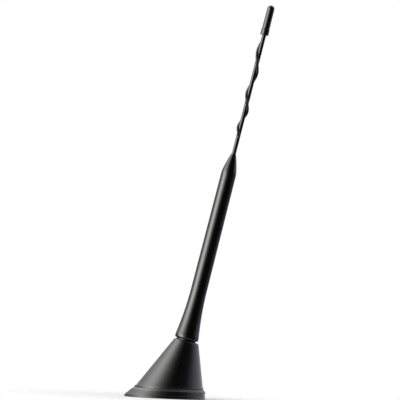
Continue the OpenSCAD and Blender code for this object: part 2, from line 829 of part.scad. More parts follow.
// Height of the spiral ridge at a height along the mast: full, but fading out at both ends
function ridge_at(up) = let (
    fade = min(up - ridge_low_h, ridge_top_h - up) / ridge_fade,
    held = max(0, min(1, fade))
) ridge_h * sin(90 * held);

// Turn of the ridge at a height along the mast, for a pitch that grows with the height
function ridge_turn(up) =
    180 - 360 * ln(1 + ridge_gain * (up - ridge_mid_h)) / (ridge_gain * ridge_pitch);

// Section of the sleeve: a circle that carries the ridge
function sleeve_ring(up) = let (height = ridge_at(up), turn = ridge_turn(up)) [
    for (k = [0:ridge_sides + plain_sides - 1]) let (
        on_ridge = k <= ridge_sides,
        a = on_ridge
            ? ridge_half * (2 * k / ridge_sides - 1)
            : ridge_half + (360 - 2 * ridge_half) * (k - ridge_sides) / plain_sides,
        out = rod_r + (on_ridge ? height * cos(90 * a / ridge_half) : 0)
    ) [out * cos(a + turn), out * sin(a + turn), up]
];

// Plastic sleeve of the rod, with the spiral ridge that keeps the wind from singing
module rod_sleeve() {
    steps = ceil((sleeve_top_h - sleeve_low_h) / sleeve_step);
    step = (sleeve_top_h - sleeve_low_h) / steps;
    points = [for (i = [0:steps]) each sleeve_ring(sleeve_low_h + step * i)];
    faces = tube_faces(steps + 1, ridge_sides + plain_sides);
    color(sleeve_black) on_mast() difference() {
        polyhedron(points, faces, 4);
        translate([0, 0, sleeve_low_h - past])
            cylinder(d = whip_d + 2 * bond_gap, h = sleeve_top_h - sleeve_low_h + 2 * past);
    }
}

// Moulded cap on the rod's tip: a short skirt, a slim taper and a dome
module tip_cap() {
    skirt_r = cap_skirt_d / 2;
    edge = skirt_r - cap_d / 2;
    dome_h = mast_len - cap_dome_h;
    dome_r = cap_dome_d / 2;
    color(moulded_black) on_mast() difference() {
        rotate_extrude() polygon(concat(
            [[0, cap_h], [skirt_r - edge, cap_h], [skirt_r, cap_h + 2 * edge],
                [skirt_r, cap_h + cap_skirt_len - edge], [cap_d / 2, cap_h + cap_skirt_len + edge]],
            [for (i = [0:dome_steps]) let (turn = 90 * i / dome_steps)
                [dome_r * cos(turn), dome_h + cap_dome_h * sin(turn)]]
        ));
        translate([0, 0, cap_h - past])
            cylinder(r = rod_r + bond_gap, h = cap_skirt_len + past + bond_gap);
        translate([0, 0, cap_h]) cylinder(d = whip_d + 2 * bond_gap, h = whip_top_h - cap_h + bond_gap);
    }
}

base_gasket();
base_plate();
lead_grommet();
housing_screws();
base_housing();
amplifier_board();
board_screws();
screening_can();
filter_coils();
board_capacitors();
mast_socket();
socket_nut();
contact_strip();
foot_seal();
mast_stud();
coil_former();
loading_coil();
rod_ferrule();
whip_rod();
mast_body();
rod_sleeve();
tip_cap();
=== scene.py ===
import json
import math

import bmesh
import bpy
from mathutils import Matrix, Vector


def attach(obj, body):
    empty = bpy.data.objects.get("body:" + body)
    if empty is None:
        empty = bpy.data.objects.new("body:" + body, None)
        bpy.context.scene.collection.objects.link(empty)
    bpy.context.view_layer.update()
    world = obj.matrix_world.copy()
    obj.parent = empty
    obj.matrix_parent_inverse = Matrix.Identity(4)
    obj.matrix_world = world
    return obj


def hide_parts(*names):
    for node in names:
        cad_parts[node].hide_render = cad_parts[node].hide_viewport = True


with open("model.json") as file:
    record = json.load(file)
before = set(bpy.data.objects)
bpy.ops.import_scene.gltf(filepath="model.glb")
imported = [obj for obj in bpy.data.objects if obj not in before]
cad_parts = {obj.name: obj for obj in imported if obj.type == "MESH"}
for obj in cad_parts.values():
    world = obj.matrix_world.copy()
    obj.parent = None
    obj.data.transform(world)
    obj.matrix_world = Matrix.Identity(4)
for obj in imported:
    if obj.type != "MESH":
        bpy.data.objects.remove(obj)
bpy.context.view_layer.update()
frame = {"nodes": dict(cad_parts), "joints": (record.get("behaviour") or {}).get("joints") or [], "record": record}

# Forms are drawn in millimetres, upright; a place matrix turns them into metres in the frame
MM = 0.001

# Mast body, with heights counted from the foot's underside
BODY_LEN = 134
FOOT_R = 8.35
FOOT_ROUND = 1.3
FOOT_RING_H = 2.6
FLARE_LEN = 35
BODY_LOW_R = 5.65
BODY_TOP_R = 5.3
NOSE_LEN = 12.8
NOSE_END_R = 1.7
NOSE_SWELL = 0.25
SHOULDER_LEN = 1.7
PIN_HOLE_R = 0.7
PIN_HOLE_H = 80.8
PIN_HOLE_TURN = -154.5
PIN_HOLE_STEP = 108.5
PIN_HOLES = 3
NOTCH_W = 0.7
NOTCH_DEEP = 0.45
NOTCH_TURN = -58

# Rod, its sleeve with the spiral ridge, and the tip cap
MAST_LEN = 241.3
ROD_R = 1.45
WHIP_R = 1.0
RIDGE_H = 1.3
RIDGE_HALF = 42
RIDGE_PITCH = 27.2
RIDGE_GAIN = 0.0076
RIDGE_MID_H = 178.0
RIDGE_LOW_H = 145.5
RIDGE_STOP = 2.0
RIDGE_FADE = 5.0
SLEEVE_HELD = 12
CAP_LEN = 21.4
CAP_SKIRT_R = 2.9
CAP_SKIRT_LEN = 4.6
CAP_R = 2.675
CAP_DOME_R = 2.525
CAP_DOME_H = 2.2
CAP_OVER = 4.2

# Mast core
THREAD_R = 2.5
THREAD_PITCH = 0.8
THREAD_DEEP = 0.4
STUD_LEN = 8.65
FERRULE_R = 4.8
FERRULE_LEN = 11
FERRULE_GROOVE_LEVELS = (4, 7.4)
FERRULE_GROOVE_W = 1.4
FERRULE_GROOVE_DEEP = 0.7
SPIGOT_LEN = 8
FORMER_R = 2.6
FORMER_WALL = 0.55
COIL_WIRE_R = 0.4
COIL_TURNS = 24
COIL_END_GAP = 1.6
ROD_FERRULE_H = 77.5
ROD_FERRULE_R = 3.4
ROD_FERRULE_LEN = 11.5
ROD_NECK_R = 2.6
ROD_NECK_LEN = 12
ROD_HELD = 17

# Housing and seat, with the housing's heights counted from the roof
GASKET_H = 6.6
HOUSING_X = 2.85
HOUSING_R = 23.95
HOUSING_WALL = 2.2
HOUSING_SIDES = 144
SEAT_FLAT_R = 7.6
SEAT_ROUND = 1.5
SEAT_SHIFT = 0.4
SEAT_WALL = 3.5
BEAD_H = 1.3
BEAD_OUT = 0.25
SCREWS = 3
BOSS_R = 2.8
BOSS_H = 5.2
BOSS_COVER = 1
BOSS_INSET = 5.2
BOSS_RIB_T = 1.6

# Gasket, plate and grommet
GASKET_OUT = 4.45
LIP_H = 1.9
LIP_TOP_OUT = 4.05
LIP_TOP_X = 0.55
LIP_STEP = 0.35
SHOULDER_H = 5
SHOULDER_OUT = 2.25
SHOULDER_X = 2.4
WEB_T = 1.6
RIB_INSET = 8.9
RIB_STEP = 3
GROOVES = 3
GROOVE_W = 1.6
GROOVE_DEEP = 0.7
PLATE_INSET = 2.95
FIXING_BOSS_R = 6
FIXING_THREAD_R = 3
FIXING_THREAD_PITCH = 1.0
FIXING_THREAD_DEEP = 0.55
FIXING_DEEP = 8
OUTLET_X = 12
OUTLET_R = 3.3
GROMMET_FLANGE = 1.2

# Board and its parts
BOARD_H = 10.2
BOARD_T = 1.6
BOARD_X = 3.5
BOARD_SCREW_X = 10.4
BOARD_SCREW_Y = 7.9
PART_SIDE = 4.2
CHOKE_BACK = 4.8
CHOKE_R = 1.7
CHOKE_H = 3.2
CHOKE_DISC = 0.55
CHOKE_WAIST = 0.5
CHOKE_WIRE_R = 0.13
CAPACITOR_BACK = 9.5
CAPACITOR_R = 1.5
CAPACITOR_H = 4
CAPACITOR_FOOT_H = 0.8

# Socket, nut and seal, with heights counted from the seat
SEAL_T = 0.84
SEAL_R = 6.8
FLANGE_R = 5
SOCKET_R = 3.5
SOCKET_LEN = 13.5
SOCKET_FLOOR = 2
SOCKET_PITCH = 0.75
SOCKET_THREAD_DEEP = 0.3
IN_STEP_TURNS = 4
NUT_AF = 10
NUT_T = 3
STRIP_T = 0.4

# Screws
SCREW_R = 1.45
SCREW_HEAD_R = 2.7
SCREW_HEAD_H = 1.9
SCREW_RECESS_R = 1.3
SCREW_RECESS_DEEP = 1
SCREW_PITCH = 1.1
BOARD_SCREW_R = 1.1
BOARD_SCREW_LEN = 6
BOARD_HEAD_R = 2
BOARD_HEAD_H = 1.4
BOARD_RECESS_R = 0.95
BOARD_RECESS_DEEP = 0.7
BOARD_SCREW_PITCH = 0.8

# Clearances: round a bonded piece, round a thread and round a piece that drops in
BOND_GAP = 0.04
THREAD_GAP = 0.05
DROP_GAP = 0.15

# Rounds on edges, from hardly broken to wide
HAIR_ROUND = 0.1
SMALL_ROUND = 0.15
PLAIN_ROUND = 0.2
SOFT_ROUND = 0.3
WIDE_ROUND = 0.45

# Points closer than this become one
WELD = 0.0005

# Sizes that follow from those above
nose_h = BODY_LEN - NOSE_LEN
cap_h = MAST_LEN - CAP_LEN
sleeve_low_h = BODY_LEN - SLEEVE_HELD
sleeve_top_h = cap_h + CAP_SKIRT_LEN
rod_neck_h = ROD_FERRULE_H + ROD_FERRULE_LEN
rod_neck_top_h = rod_neck_h + ROD_NECK_LEN
whip_low_h = rod_neck_top_h - ROD_HELD
whip_top_h = MAST_LEN - CAP_OVER
spigot_r = FORMER_R - FORMER_WALL - BOND_GAP
coil_r = FORMER_R + BOND_GAP + COIL_WIRE_R
plate_r = HOUSING_R - PLATE_INSET
cavity_r = HOUSING_R - HOUSING_WALL
boss_ring_r = cavity_r - BOSS_INSET
screw_top_h = GASKET_H + BOSS_H - BOSS_COVER
board_top = BOARD_H + BOARD_T

# Places: the hinge of the mast gives the middle of its seat and its lean
turn_joint = next(j for j in frame["joints"] if j["type"] == "hinge")
mast_axis = Vector(turn_joint["axis"]).normalized()
lean = math.atan2(mast_axis.x, mast_axis.z)
seat_point = Vector(turn_joint["pos_m"]) / MM
base_place = Matrix.Scale(MM, 4)
seat_place = base_place @ Matrix.Translation(seat_point) @ Matrix.Rotation(lean, 4, "Y")
mast_place = seat_place @ Matrix.Translation((0, 0, SEAL_T))
seat_drop = seat_point.z - GASKET_H
cavity_top_r = (
    SEAT_FLAT_R + SEAT_ROUND / 2 - HOUSING_WALL
    + SEAT_WALL * (HOUSING_R - SEAT_FLAT_R - SEAT_ROUND / 2) / seat_drop
)


# Shader and geometry nodes

def tone(hex_colour):
    """An sRGB hex colour as the linear values that shaders take."""
    parts = [int(hex_colour[i : i + 2], 16) / 255 for i in (1, 3, 5)]
    return [p / 12.92 if p <= 0.04045 else ((p + 0.055) / 1.055) ** 2.4 for p in parts] + [1]


def add(tree, kind, inputs=None, **settings):
    """Adds a node with its settings. Each input is a value to set, or a socket to link."""
    node = tree.nodes.new(kind)
    for name, value in settings.items():
        setattr(node, name, value)
    for name, value in (inputs or {}).items():
        if isinstance(value, bpy.types.NodeSocket):
            tree.links.new(value, node.inputs[name])
        else:
            node.inputs[name].default_value = value
    return node


def sums(tree):
    """Arithmetic in a tree: calc("ADD", a, b) is the sum's socket."""
    def calc(operation, *values):
        return add(tree, "ShaderNodeMath", dict(enumerate(values)), operation=operation).outputs[0]
    return calc


def blank_material(name):
    material = bpy.data.materials.new(name)
    material.use_nodes = True
    material.node_tree.nodes.clear()
    return material, material.node_tree


def finish(name, colour, roughness, grain_mm, relief_mm, metallic=0.0, ior=1.5, coat=0.0,
           mottle=0.15, cloud_mm=14.0, lines=None):
    """A surface of one colour. Grain roughens its relief and gloss, clouds shift its colour a little,
    and lines, given as a turn and a stretch, drag the grain into marks of turning or drawing."""
    material, tree = blank_material(name)
    place = add(tree, "ShaderNodeTexCoord").outputs["Object"]
    clouds = add(tree, "ShaderNodeTexNoise", {
        "Vector": place, "Scale": 1 / (cloud_mm * MM), "Detail": 3.0,
    }).outputs["Fac"]
    if lines:
        turned_place = add(tree, "ShaderNodeMapping", {"Vector": place, "Rotation": lines[0]}).outputs[0]
        place = add(tree, "ShaderNodeMapping", {"Vector": turned_place, "Scale": lines[1]}).outputs[0]
    grain = add(tree, "ShaderNodeTexNoise", {
        "Vector": place, "Scale": 1 / (grain_mm * MM), "Detail": 4.0, "Roughness": 0.65,
    }).outputs["Fac"]
    base = tone(colour)
    shade = add(tree, "ShaderNodeMix", {
        0: clouds,
        6: [c * (1 - mottle) for c in base[:3]] + [1],
        7: [c * (1 + mottle) for c in base[:3]] + [1],
    }, data_type="RGBA").outputs[2]
    calc = sums(tree)
    uneven = calc("ADD", calc("MULTIPLY", grain, 0.7), calc("MULTIPLY", clouds, 0.3))
    gloss = add(tree, "ShaderNodeMapRange", {
        "Value": uneven, "From Min": 0.3, "From Max": 0.7,
        "To Min": roughness * 0.86, "To Max": roughness * 1.14,
    }).outputs[0]
    bump = add(tree, "ShaderNodeBump", {"Height": grain, "Strength": 0.6, "Distance": relief_mm * MM}).outputs[0]
    shader = add(tree, "ShaderNodeBsdfPrincipled", {
        "Base Color": shade, "Roughness": gloss, "Normal": bump, "Metallic": metallic, "IOR": ior,
        "Coat Weight": coat,
    })
    add(tree, "ShaderNodeOutputMaterial", {"Surface": shader.outputs[0]})
    return material


# Grain sizes are about twice the real ones, so that they show

# Thermoplastic rubber, injection moulded: satin, with a soft highlight and faint flow clouds
mast_rubber = finish("moulded_thermoplastic_rubber", "#040404", 0.24, 0.9, 0.02, ior=1.51, cloud_mm=18)
# ABS moulded in a spark-eroded tool: an even sandy grain that breaks up the gloss
housing_plastic = finish("spark_grained_abs", "#040405", 0.29, 0.7, 0.03, ior=1.54, cloud_mm=22)
# EPDM, compression moulded: duller than the housing, with a slight grey bloom
gasket_rubber = finish("moulded_epdm_rubber", "#060607", 0.3, 0.9, 0.04, ior=1.48, mottle=0.3, cloud_mm=9)
# Polypropylene moulded over the rod in a polished tool: the glossiest of the black pieces
sleeve_plastic = finish("polished_mould_polypropylene", "#040404", 0.24, 0.8, 0.015, ior=1.49)
# Polyamide with a fine moulded satin: soft highlight on the cap
cap_plastic = finish("satin_moulded_polyamide", "#040404", 0.28, 0.7, 0.02, ior=1.53)
# Zinc from a die: pale grey, with cloudy flow marks and a dull skin
cast_zinc = finish("die_cast_zinc", "#9a9c9e", 0.42, 1.2, 0.05, metallic=1.0, cloud_mm=6)
# Steel, zinc plated and passivated: bluish white and fairly bright
plated_steel = finish("zinc_plated_steel", "#b9bec2", 0.26, 0.5, 0.01, metallic=1.0, cloud_mm=3)
# Tinned steel sheet, rolled: soft lines in the rolling direction
tinned_sheet = finish("rolled_tinned_sheet", "#c9cbca", 0.25, 0.5, 0.01, metallic=1.0,
                      lines=((0, 0, 0), (0.08, 1, 1)))
# Brass from a lathe: fine rings round the axis, which spread the highlight along it
turned_brass = finish("lathe_turned_brass", "#d9b45f", 0.22, 0.35, 0.015, metallic=1.0,
                      lines=((0, -lean, 0), (0.04, 0.04, 1)))
# Copper wire under clear enamel: reddish metal with a hard gloss on top
copper_wire = finish("enamelled_copper_wire", "#b9653a", 0.24, 0.4, 0.005, metallic=1.0, coat=0.7)
# Ferrite, pressed and fired: dark grey and slightly sandy
drum_ferrite = finish("fired_ferrite", "#2c2c2f", 0.5, 0.4, 0.03, ior=1.6)
# Glass-fibre laminate under green lacquer: an even green with a soft gloss
board_lacquer = finish("lacquered_glass_laminate", "#17552f", 0.3, 0.6, 0.02, ior=1.5)
# Aluminium capacitor can, drawn: bright, with faint lines along its height
drawn_aluminium = finish("drawn_aluminium_can", "#cfd1d3", 0.22, 0.4, 0.008, metallic=1.0,
                         lines=((0, 0, 0), (1, 1, 0.06)))
# Polypropylene tube, extruded and uncoloured: milky, with a waxy gloss
natural_plastic = finish("extruded_natural_polypropylene", "#dcd6c6", 0.36, 1.0, 0.01, ior=1.49)
# Spring steel, drawn: grey, with fine lines along the rod
spring_steel = finish("drawn_spring_steel", "#8f9296", 0.27, 0.4, 0.01, metallic=1.0,
                      lines=((0, -lean, 0), (1, 1, 0.03)))


# Forms

def spaced(low, high, count):
    """Evenly spaced values, with both ends."""
    return [low + (high - low) * i / count for i in range(count + 1)]


def rounded(corners, closed=False, steps=4):
    """An outline in (radius, height). A corner with a third value is rounded to that radius."""
    points = [Vector(c[:2]) for c in corners]
    out = []
    for i, corner in enumerate(corners):
        here = points[i]
        at_end = not closed and i in (0, len(corners) - 1)
        back = (points[i - 1] - here).normalized()
        ahead = (points[(i + 1) % len(points)] - here).normalized()
        half = back.angle(ahead, 0) / 2
        if at_end or len(corner) < 3 or not 0 < half < math.radians(89):
            out.append(tuple(here))
            continue
        centre = here + (back + ahead).normalized() * (corner[2] / math.sin(half))
        arm = here + back * (corner[2] / math.tan(half)) - centre
        sweep = (math.pi - 2 * half) * (1 if back.x * ahead.y < back.y * ahead.x else -1)
        for k in range(steps + 1):
            out.append(tuple(centre + Matrix.Rotation(sweep * k / steps, 2) @ arm))
    return out


def circle(radius, height, sides, x=0):
    """A level ring of points, or one point on the axis."""
    if radius < 1e-6:
        return [(x, 0, height)]
    turns = [math.tau * k / sides for k in range(sides)]
    return [(x + radius * math.cos(t), radius * math.sin(t), height) for t in turns]


def skin(rows, closed=False):
    """Faces between rows of points. A row of one point is a pole, and a closed skin also joins its two ends."""
    bm = bmesh.new()
    made = [[bm.verts.new(p) for p in row] for row in rows]
    sides = max(len(row) for row in made)
    for low, high in zip(made, made[1:] + (made[:1] if closed else [])):
        for k in range(sides):
            pairs = (low, k), (low, k + 1), (high, k + 1), (high, k)
            corners = tuple(dict.fromkeys(row[i % len(row)] for row, i in pairs))
            if len(corners) > 2:
                bm.faces.new(corners)
    bmesh.ops.recalc_face_normals(bm, faces=bm.faces)
    return bm


def turned(outline, sides=96):
    """A turned form from its outline in (radius, height): from pole to pole, or closed round a bore."""
    return skin([circle(r, z, sides) for r, z in outline], closed=outline[0][0] > 1e-6)


def block(size, middle):
    """A plain block for a cut or a base form."""
    bm = bmesh.new()
    bmesh.ops.create_cube(bm, size=1, matrix=Matrix.Translation(middle) @ Matrix.Diagonal((*size, 1)))
    return bm


def moved(bm, place):
    bmesh.ops.transform(bm, matrix=place, verts=bm.verts)
    return bm


def joined(forms):
    """Several forms in one mesh, each of them still a closed solid of its own."""
    out = bmesh.new()
    for form in forms:
        part = bpy.data.meshes.new("part")
        form.to_mesh(part)
        form.free()
        out.from_mesh(part)
        bpy.data.meshes.remove(part)
    return out


def as_object(name, form, place):
    """A new object at the origin, with its place in its mesh."""
    mesh = form
    if isinstance(form, bmesh.types.BMesh):
        mesh = bpy.data.meshes.new(name)
        form.to_mesh(mesh)
        form.free()
    mesh.name = name
    mesh.transform(place)
    made = bpy.data.objects.new(name, mesh)
    bpy.context.scene.collection.objects.link(made)
    return made


def settled(piece):
    """The form that an object's modifiers give. The object itself goes."""
    shaped = piece.evaluated_get(bpy.context.evaluated_depsgraph_get())
    mesh = bpy.data.meshes.new_from_object(shaped)
    bpy.data.objects.remove(piece)
    bm = bmesh.new()
    bm.from_mesh(mesh)
    bpy.data.meshes.remove(mesh)
    return bm


def combined(form, others, operation):
    """The form with the others cut from it, joined on, or kept where both are."""
    work = as_object("work", form, Matrix())
    helpers = [as_object("helper", other, Matrix()) for other in others]
    for helper in helpers:
        change = work.modifiers.new("change", "BOOLEAN")
        change.operation = operation
        change.solver = "EXACT"
        change.object = helper
    out = settled(work)
    for helper in helpers:
        bpy.data.objects.remove(helper)
    return out


def edged(form, width, sharper_than=40):
    """The form with its sharp edges broken by a small round of this width."""
    work = as_object("work", form, Matrix())
    change = work.modifiers.new("edges", "BEVEL")
    change.width = width
    change.segments = 2
    change.limit_method = "ANGLE"
    change.angle_limit = math.radians(sharper_than)
    return settled(work)


def node_form(node):
    """A copy of a CAD node's mesh in millimetres, with its loose triangles merged."""
    bm = bmesh.new()
    bm.from_mesh(frame["nodes"][node].data)
    bmesh.ops.scale(bm, vec=(1 / MM, 1 / MM, 1 / MM), verts=bm.verts)
    bmesh.ops.remove_doubles(bm, verts=bm.verts, dist=WELD)
    bmesh.ops.dissolve_limit(bm, angle_limit=math.radians(0.5), verts=bm.verts, edges=bm.edges)
    return bm


def put(name, form, place, materials, node, sharp=35):
    """Puts a piece in the scene for its CAD node: smooth but for sharp edges, riding on that node's body."""
    made = as_object(name, form, place)
    made.data.materials.clear()
    for material in materials:
        made.data.materials.append(material)
    made.data.shade_smooth()
    made.data.set_sharp_from_angle(angle=math.radians(sharp))
    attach(made, body_of[node])
    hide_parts(node)
    return made


body_of = {node: body for body, nodes in frame["record"]["behaviour"]["bodies"].items() for node in nodes}


# Geometry Nodes: threads, windings, repeated screws and the spiral ridge

def begin_group(name, counts, sizes, forms=()):
    """A Geometry Nodes tree with these named inputs and a finish. Returns it and its input sockets."""
    tree = bpy.data.node_groups.new(name, "GeometryNodeTree")
    tree.interface.new_socket("Geometry", in_out="INPUT", socket_type="NodeSocketGeometry")
    for title in counts:
        tree.interface.new_socket(title, in_out="INPUT", socket_type="NodeSocketInt")
    for title in sizes:
        tree.interface.new_socket(title, in_out="INPUT", socket_type="NodeSocketFloat")
    for title in forms:
        tree.interface.new_socket(title, in_out="INPUT", socket_type="NodeSocketObject")
    tree.interface.new_socket("Finish", in_out="INPUT", socket_type="NodeSocketMaterial")
    tree.interface.new_socket("Geometry", in_out="OUTPUT", socket_type="NodeSocketGeometry")
    return tree, add(tree, "NodeGroupInput").outputs


def end_group(tree, geometry, given):
    """Ends a tree in real geometry with its finish."""
    real = add(tree, "GeometryNodeRealizeInstances", {"Geometry": geometry}).outputs[0]
    done = add(tree, "GeometryNodeSetMaterial", {"Geometry": real, "Material": given["Finish"]}).outputs[0]
    add(tree, "NodeGroupOutput", {"Geometry": done})
    return tree


def grown(tree, values, start=None):
    """The form that a tree grows from a start mesh, with these values for its named inputs."""
    holder = bpy.data.objects.new(tree.name, start or bpy.data.meshes.new(tree.name))
    bpy.context.scene.collection.objects.link(holder)
    change = holder.modifiers.new(tree.name, "NODES")
    change.node_group = tree
    for item in tree.interface.items_tree:
        if item.in_out == "INPUT" and item.name in values:
            change[item.identifier] = values[item.name]
    return settled(holder)


def grid_rows(tree, given):
    """A grid whose columns go round and whose rows go up, with each point's share of the turn and its row."""
    calc = sums(tree)
    grid = add(tree, "GeometryNodeMeshGrid", {
        "Size X": 1.0, "Size Y": 1.0,
        "Vertices X": calc("ADD", given["Columns"], 1.0), "Vertices Y": given["Rows"],
    }).outputs["Mesh"]
    spot = add(tree, "ShaderNodeSeparateXYZ", {0: add(tree, "GeometryNodeInputPosition").outputs[0]}).outputs
    last = calc("SUBTRACT", given["Rows"], 1.0)
    row = calc("ROUND", calc("MULTIPLY", calc("ADD", spot["Y"], 0.5), last))
    return grid, calc("ADD", spot["X"], 0.5), row, last


def wrapped(tree, grid, radius, angle, up):
    """The grid bent into a closed turned skin."""
    calc = sums(tree)
    place = add(tree, "ShaderNodeCombineXYZ", {
        "X": calc("MULTIPLY", radius, calc("COSINE", angle)),
        "Y": calc("MULTIPLY", radius, calc("SINE", angle)),
        "Z": up,
    }).outputs[0]
    bent = add(tree, "GeometryNodeSetPosition", {"Geometry": grid, "Position": place}).outputs[0]
    return add(tree, "GeometryNodeMergeByDistance", {"Geometry": bent, "Distance": WELD}).outputs[0]


def make_thread_tree():
    """A threaded rod. Each row of its grid runs along the thread, four rows to a turn: two at the root and two
    at the crest. Rows past an end gather in a ring there, and the thread fades out towards it."""
    tree, given = begin_group(
        "threaded_rod", ("Columns", "Rows"), ("Bottom", "Top", "Pitch", "Crest radius", "Depth", "Fade")
    )
    calc = sums(tree)
    grid, share, row, last = grid_rows(tree, given)
    turns = calc("SUBTRACT", calc("MULTIPLY_ADD", row, 0.25, share), 2.0)
    free = calc("MULTIPLY_ADD", turns, given["Pitch"], given["Bottom"])
    up = calc("MINIMUM", calc("MAXIMUM", free, given["Bottom"]), given["Top"])
    room = calc("MINIMUM", calc("SUBTRACT", up, given["Bottom"]), calc("SUBTRACT", given["Top"], up))
    held = calc("MINIMUM", calc("DIVIDE", room, given["Fade"]), 1.0)
    crest = calc("GREATER_THAN", calc("MODULO", row, 4.0), 1.5)
    root = calc("SUBTRACT", given["Crest radius"], given["Depth"])
    side = calc("MULTIPLY_ADD", calc("MULTIPLY", crest, held), given["Depth"], root)
    off_pole = calc("LESS_THAN", row, calc("SUBTRACT", last, 0.5))
    off_pole = calc("MULTIPLY", off_pole, calc("GREATER_THAN", row, 0.5))
    skin_form = wrapped(tree, grid, calc("MULTIPLY", side, off_pole), calc("MULTIPLY", share, math.tau), up)
    return end_group(tree, skin_form, given)


def make_ridge_tree():
    """The rod's sleeve. Its grid's columns wind round with the ridge, so that the ridge keeps a clean crest.
    The first and the last two rows make the bore."""
    tree, given = begin_group("spiral_ridged_sleeve", ("Columns", "Rows"), (
        "Bottom", "Top", "Rod radius", "Bore radius", "Ridge height", "Ridge half angle", "Pitch",
        "Pitch growth", "Measured at", "Ridge low", "Ridge high", "Fade",
    ))
    calc = sums(tree)
    grid, share, row, last = grid_rows(tree, given)
    along = calc("DIVIDE", calc("SUBTRACT", row, 1.0), calc("SUBTRACT", last, 3.0))
    along = calc("MINIMUM", calc("MAXIMUM", along, 0.0), 1.0)
    along = calc("MULTIPLY", along, calc("LESS_THAN", row, calc("SUBTRACT", last, 0.5)))
    up = calc("MULTIPLY_ADD", along, calc("SUBTRACT", given["Top"], given["Bottom"]), given["Bottom"])
    over = calc("SUBTRACT", up, given["Measured at"])
    growth = calc("LOGARITHM", calc("MULTIPLY_ADD", over, given["Pitch growth"], 1.0), math.e)
    growing = calc("MULTIPLY", given["Pitch growth"], given["Pitch"])
    wound = calc("DIVIDE", calc("MULTIPLY", growth, math.tau), growing)
    off_ridge = calc("MULTIPLY", calc("SUBTRACT", share, 0.5), math.tau)
    angle = calc("ADD", calc("SUBTRACT", math.pi, wound), off_ridge)
    lobe = calc("MINIMUM", calc("DIVIDE", calc("ABSOLUTE", off_ridge), given["Ridge half angle"]), 1.0)
    room = calc("MINIMUM", calc("SUBTRACT", up, given["Ridge low"]), calc("SUBTRACT", given["Ridge high"], up))
    held = calc("MINIMUM", calc("MAXIMUM", calc("DIVIDE", room, given["Fade"]), 0.0), 1.0)
    height = calc("MULTIPLY", given["Ridge height"], calc("SINE", calc("MULTIPLY", held, math.pi / 2)))
    crown = calc("COSINE", calc("MULTIPLY", lobe, math.pi / 2))
    outer = calc("MULTIPLY_ADD", crown, height, given["Rod radius"])
    at_end = calc("GREATER_THAN", row, calc("SUBTRACT", last, 1.5))
    in_bore = calc("MAXIMUM", calc("LESS_THAN", row, 0.5), at_end)
    to_bore = calc("MULTIPLY", in_bore, calc("SUBTRACT", given["Bore radius"], outer))
    return end_group(tree, wrapped(tree, grid, calc("ADD", outer, to_bore), angle, up), given)


def make_winding_tree():
    """Wire wound side by side along a former, as a tube on a helix with closed ends."""
    sizes = ("Turns", "Radius", "Bottom", "Height", "Wire radius")
    tree, given = begin_group("wound_wire", ("Sides", "Steps a turn"), sizes)
    helix = add(tree, "GeometryNodeCurveSpiral", {
        "Resolution": given["Steps a turn"], "Rotations": given["Turns"], "Start Radius": given["Radius"],
        "End Radius": given["Radius"], "Height": given["Height"],
    }).outputs[0]
    lift = add(tree, "ShaderNodeCombineXYZ", {"Z": given["Bottom"]}).outputs[0]
    lifted = add(tree, "GeometryNodeSetPosition", {"Geometry": helix, "Offset": lift}).outputs[0]
    section = add(tree, "GeometryNodeCurvePrimitiveCircle", {
        "Resolution": given["Sides"], "Radius": given["Wire radius"],
    }).outputs[0]
    wire = add(tree, "GeometryNodeCurveToMesh", {
        "Curve": lifted, "Profile Curve": section, "Fill Caps": True,
    }).outputs[0]
    return end_group(tree, wire, given)


def make_repeat_tree():
    """One form, set at each point of the start mesh."""
    tree, given = begin_group("repeated_form", (), (), ("Form",))
    form = add(tree, "GeometryNodeObjectInfo", {
        "Object": given["Form"], "As Instance": True,
    }).outputs["Geometry"]
    points = add(tree, "GeometryNodeMeshToPoints", {"Mesh": given["Geometry"]}).outputs[0]
    copies = add(tree, "GeometryNodeInstanceOnPoints", {"Points": points, "Instance": form}).outputs[0]
    real = add(tree, "GeometryNodeRealizeInstances", {"Geometry": copies}).outputs[0]
    add(tree, "NodeGroupOutput", {"Geometry": real})
    return tree


thread_tree = make_thread_tree()
ridge_tree = make_ridge_tree()
winding_tree = make_winding_tree()
repeat_tree = make_repeat_tree()


def threaded(bottom, top, crest_r, pitch, deep, fade, sides=48):
    """A right-handed threaded rod from bottom to top."""
    rows = 4 * math.ceil((top - bottom) / pitch + 2) + 3
    return grown(thread_tree, {
        "Columns": sides, "Rows": rows, "Bottom": float(bottom), "Top": float(top), "Pitch": pitch,
        "Crest radius": crest_r, "Depth": deep, "Fade": fade,
    })


def wound(turns, radius, bottom, height, wire_r, steps=36, sides=8):
    """A winding of round wire."""
    return grown(winding_tree, {
        "Sides": sides, "Turns": float(turns), "Steps a turn": steps, "Radius": radius,
        "Bottom": float(bottom), "Height": float(height), "Wire radius": wire_r,
    })


def repeated(form, points):
    """The form at each of these points."""
    master = as_object("master", form, Matrix())
    start = bpy.data.meshes.new("points")
    start.from_pydata(points, [], [])
    out = grown(repeat_tree, {"Form": master}, start)
    bpy.data.objects.remove(master)
    return out


# Mast body

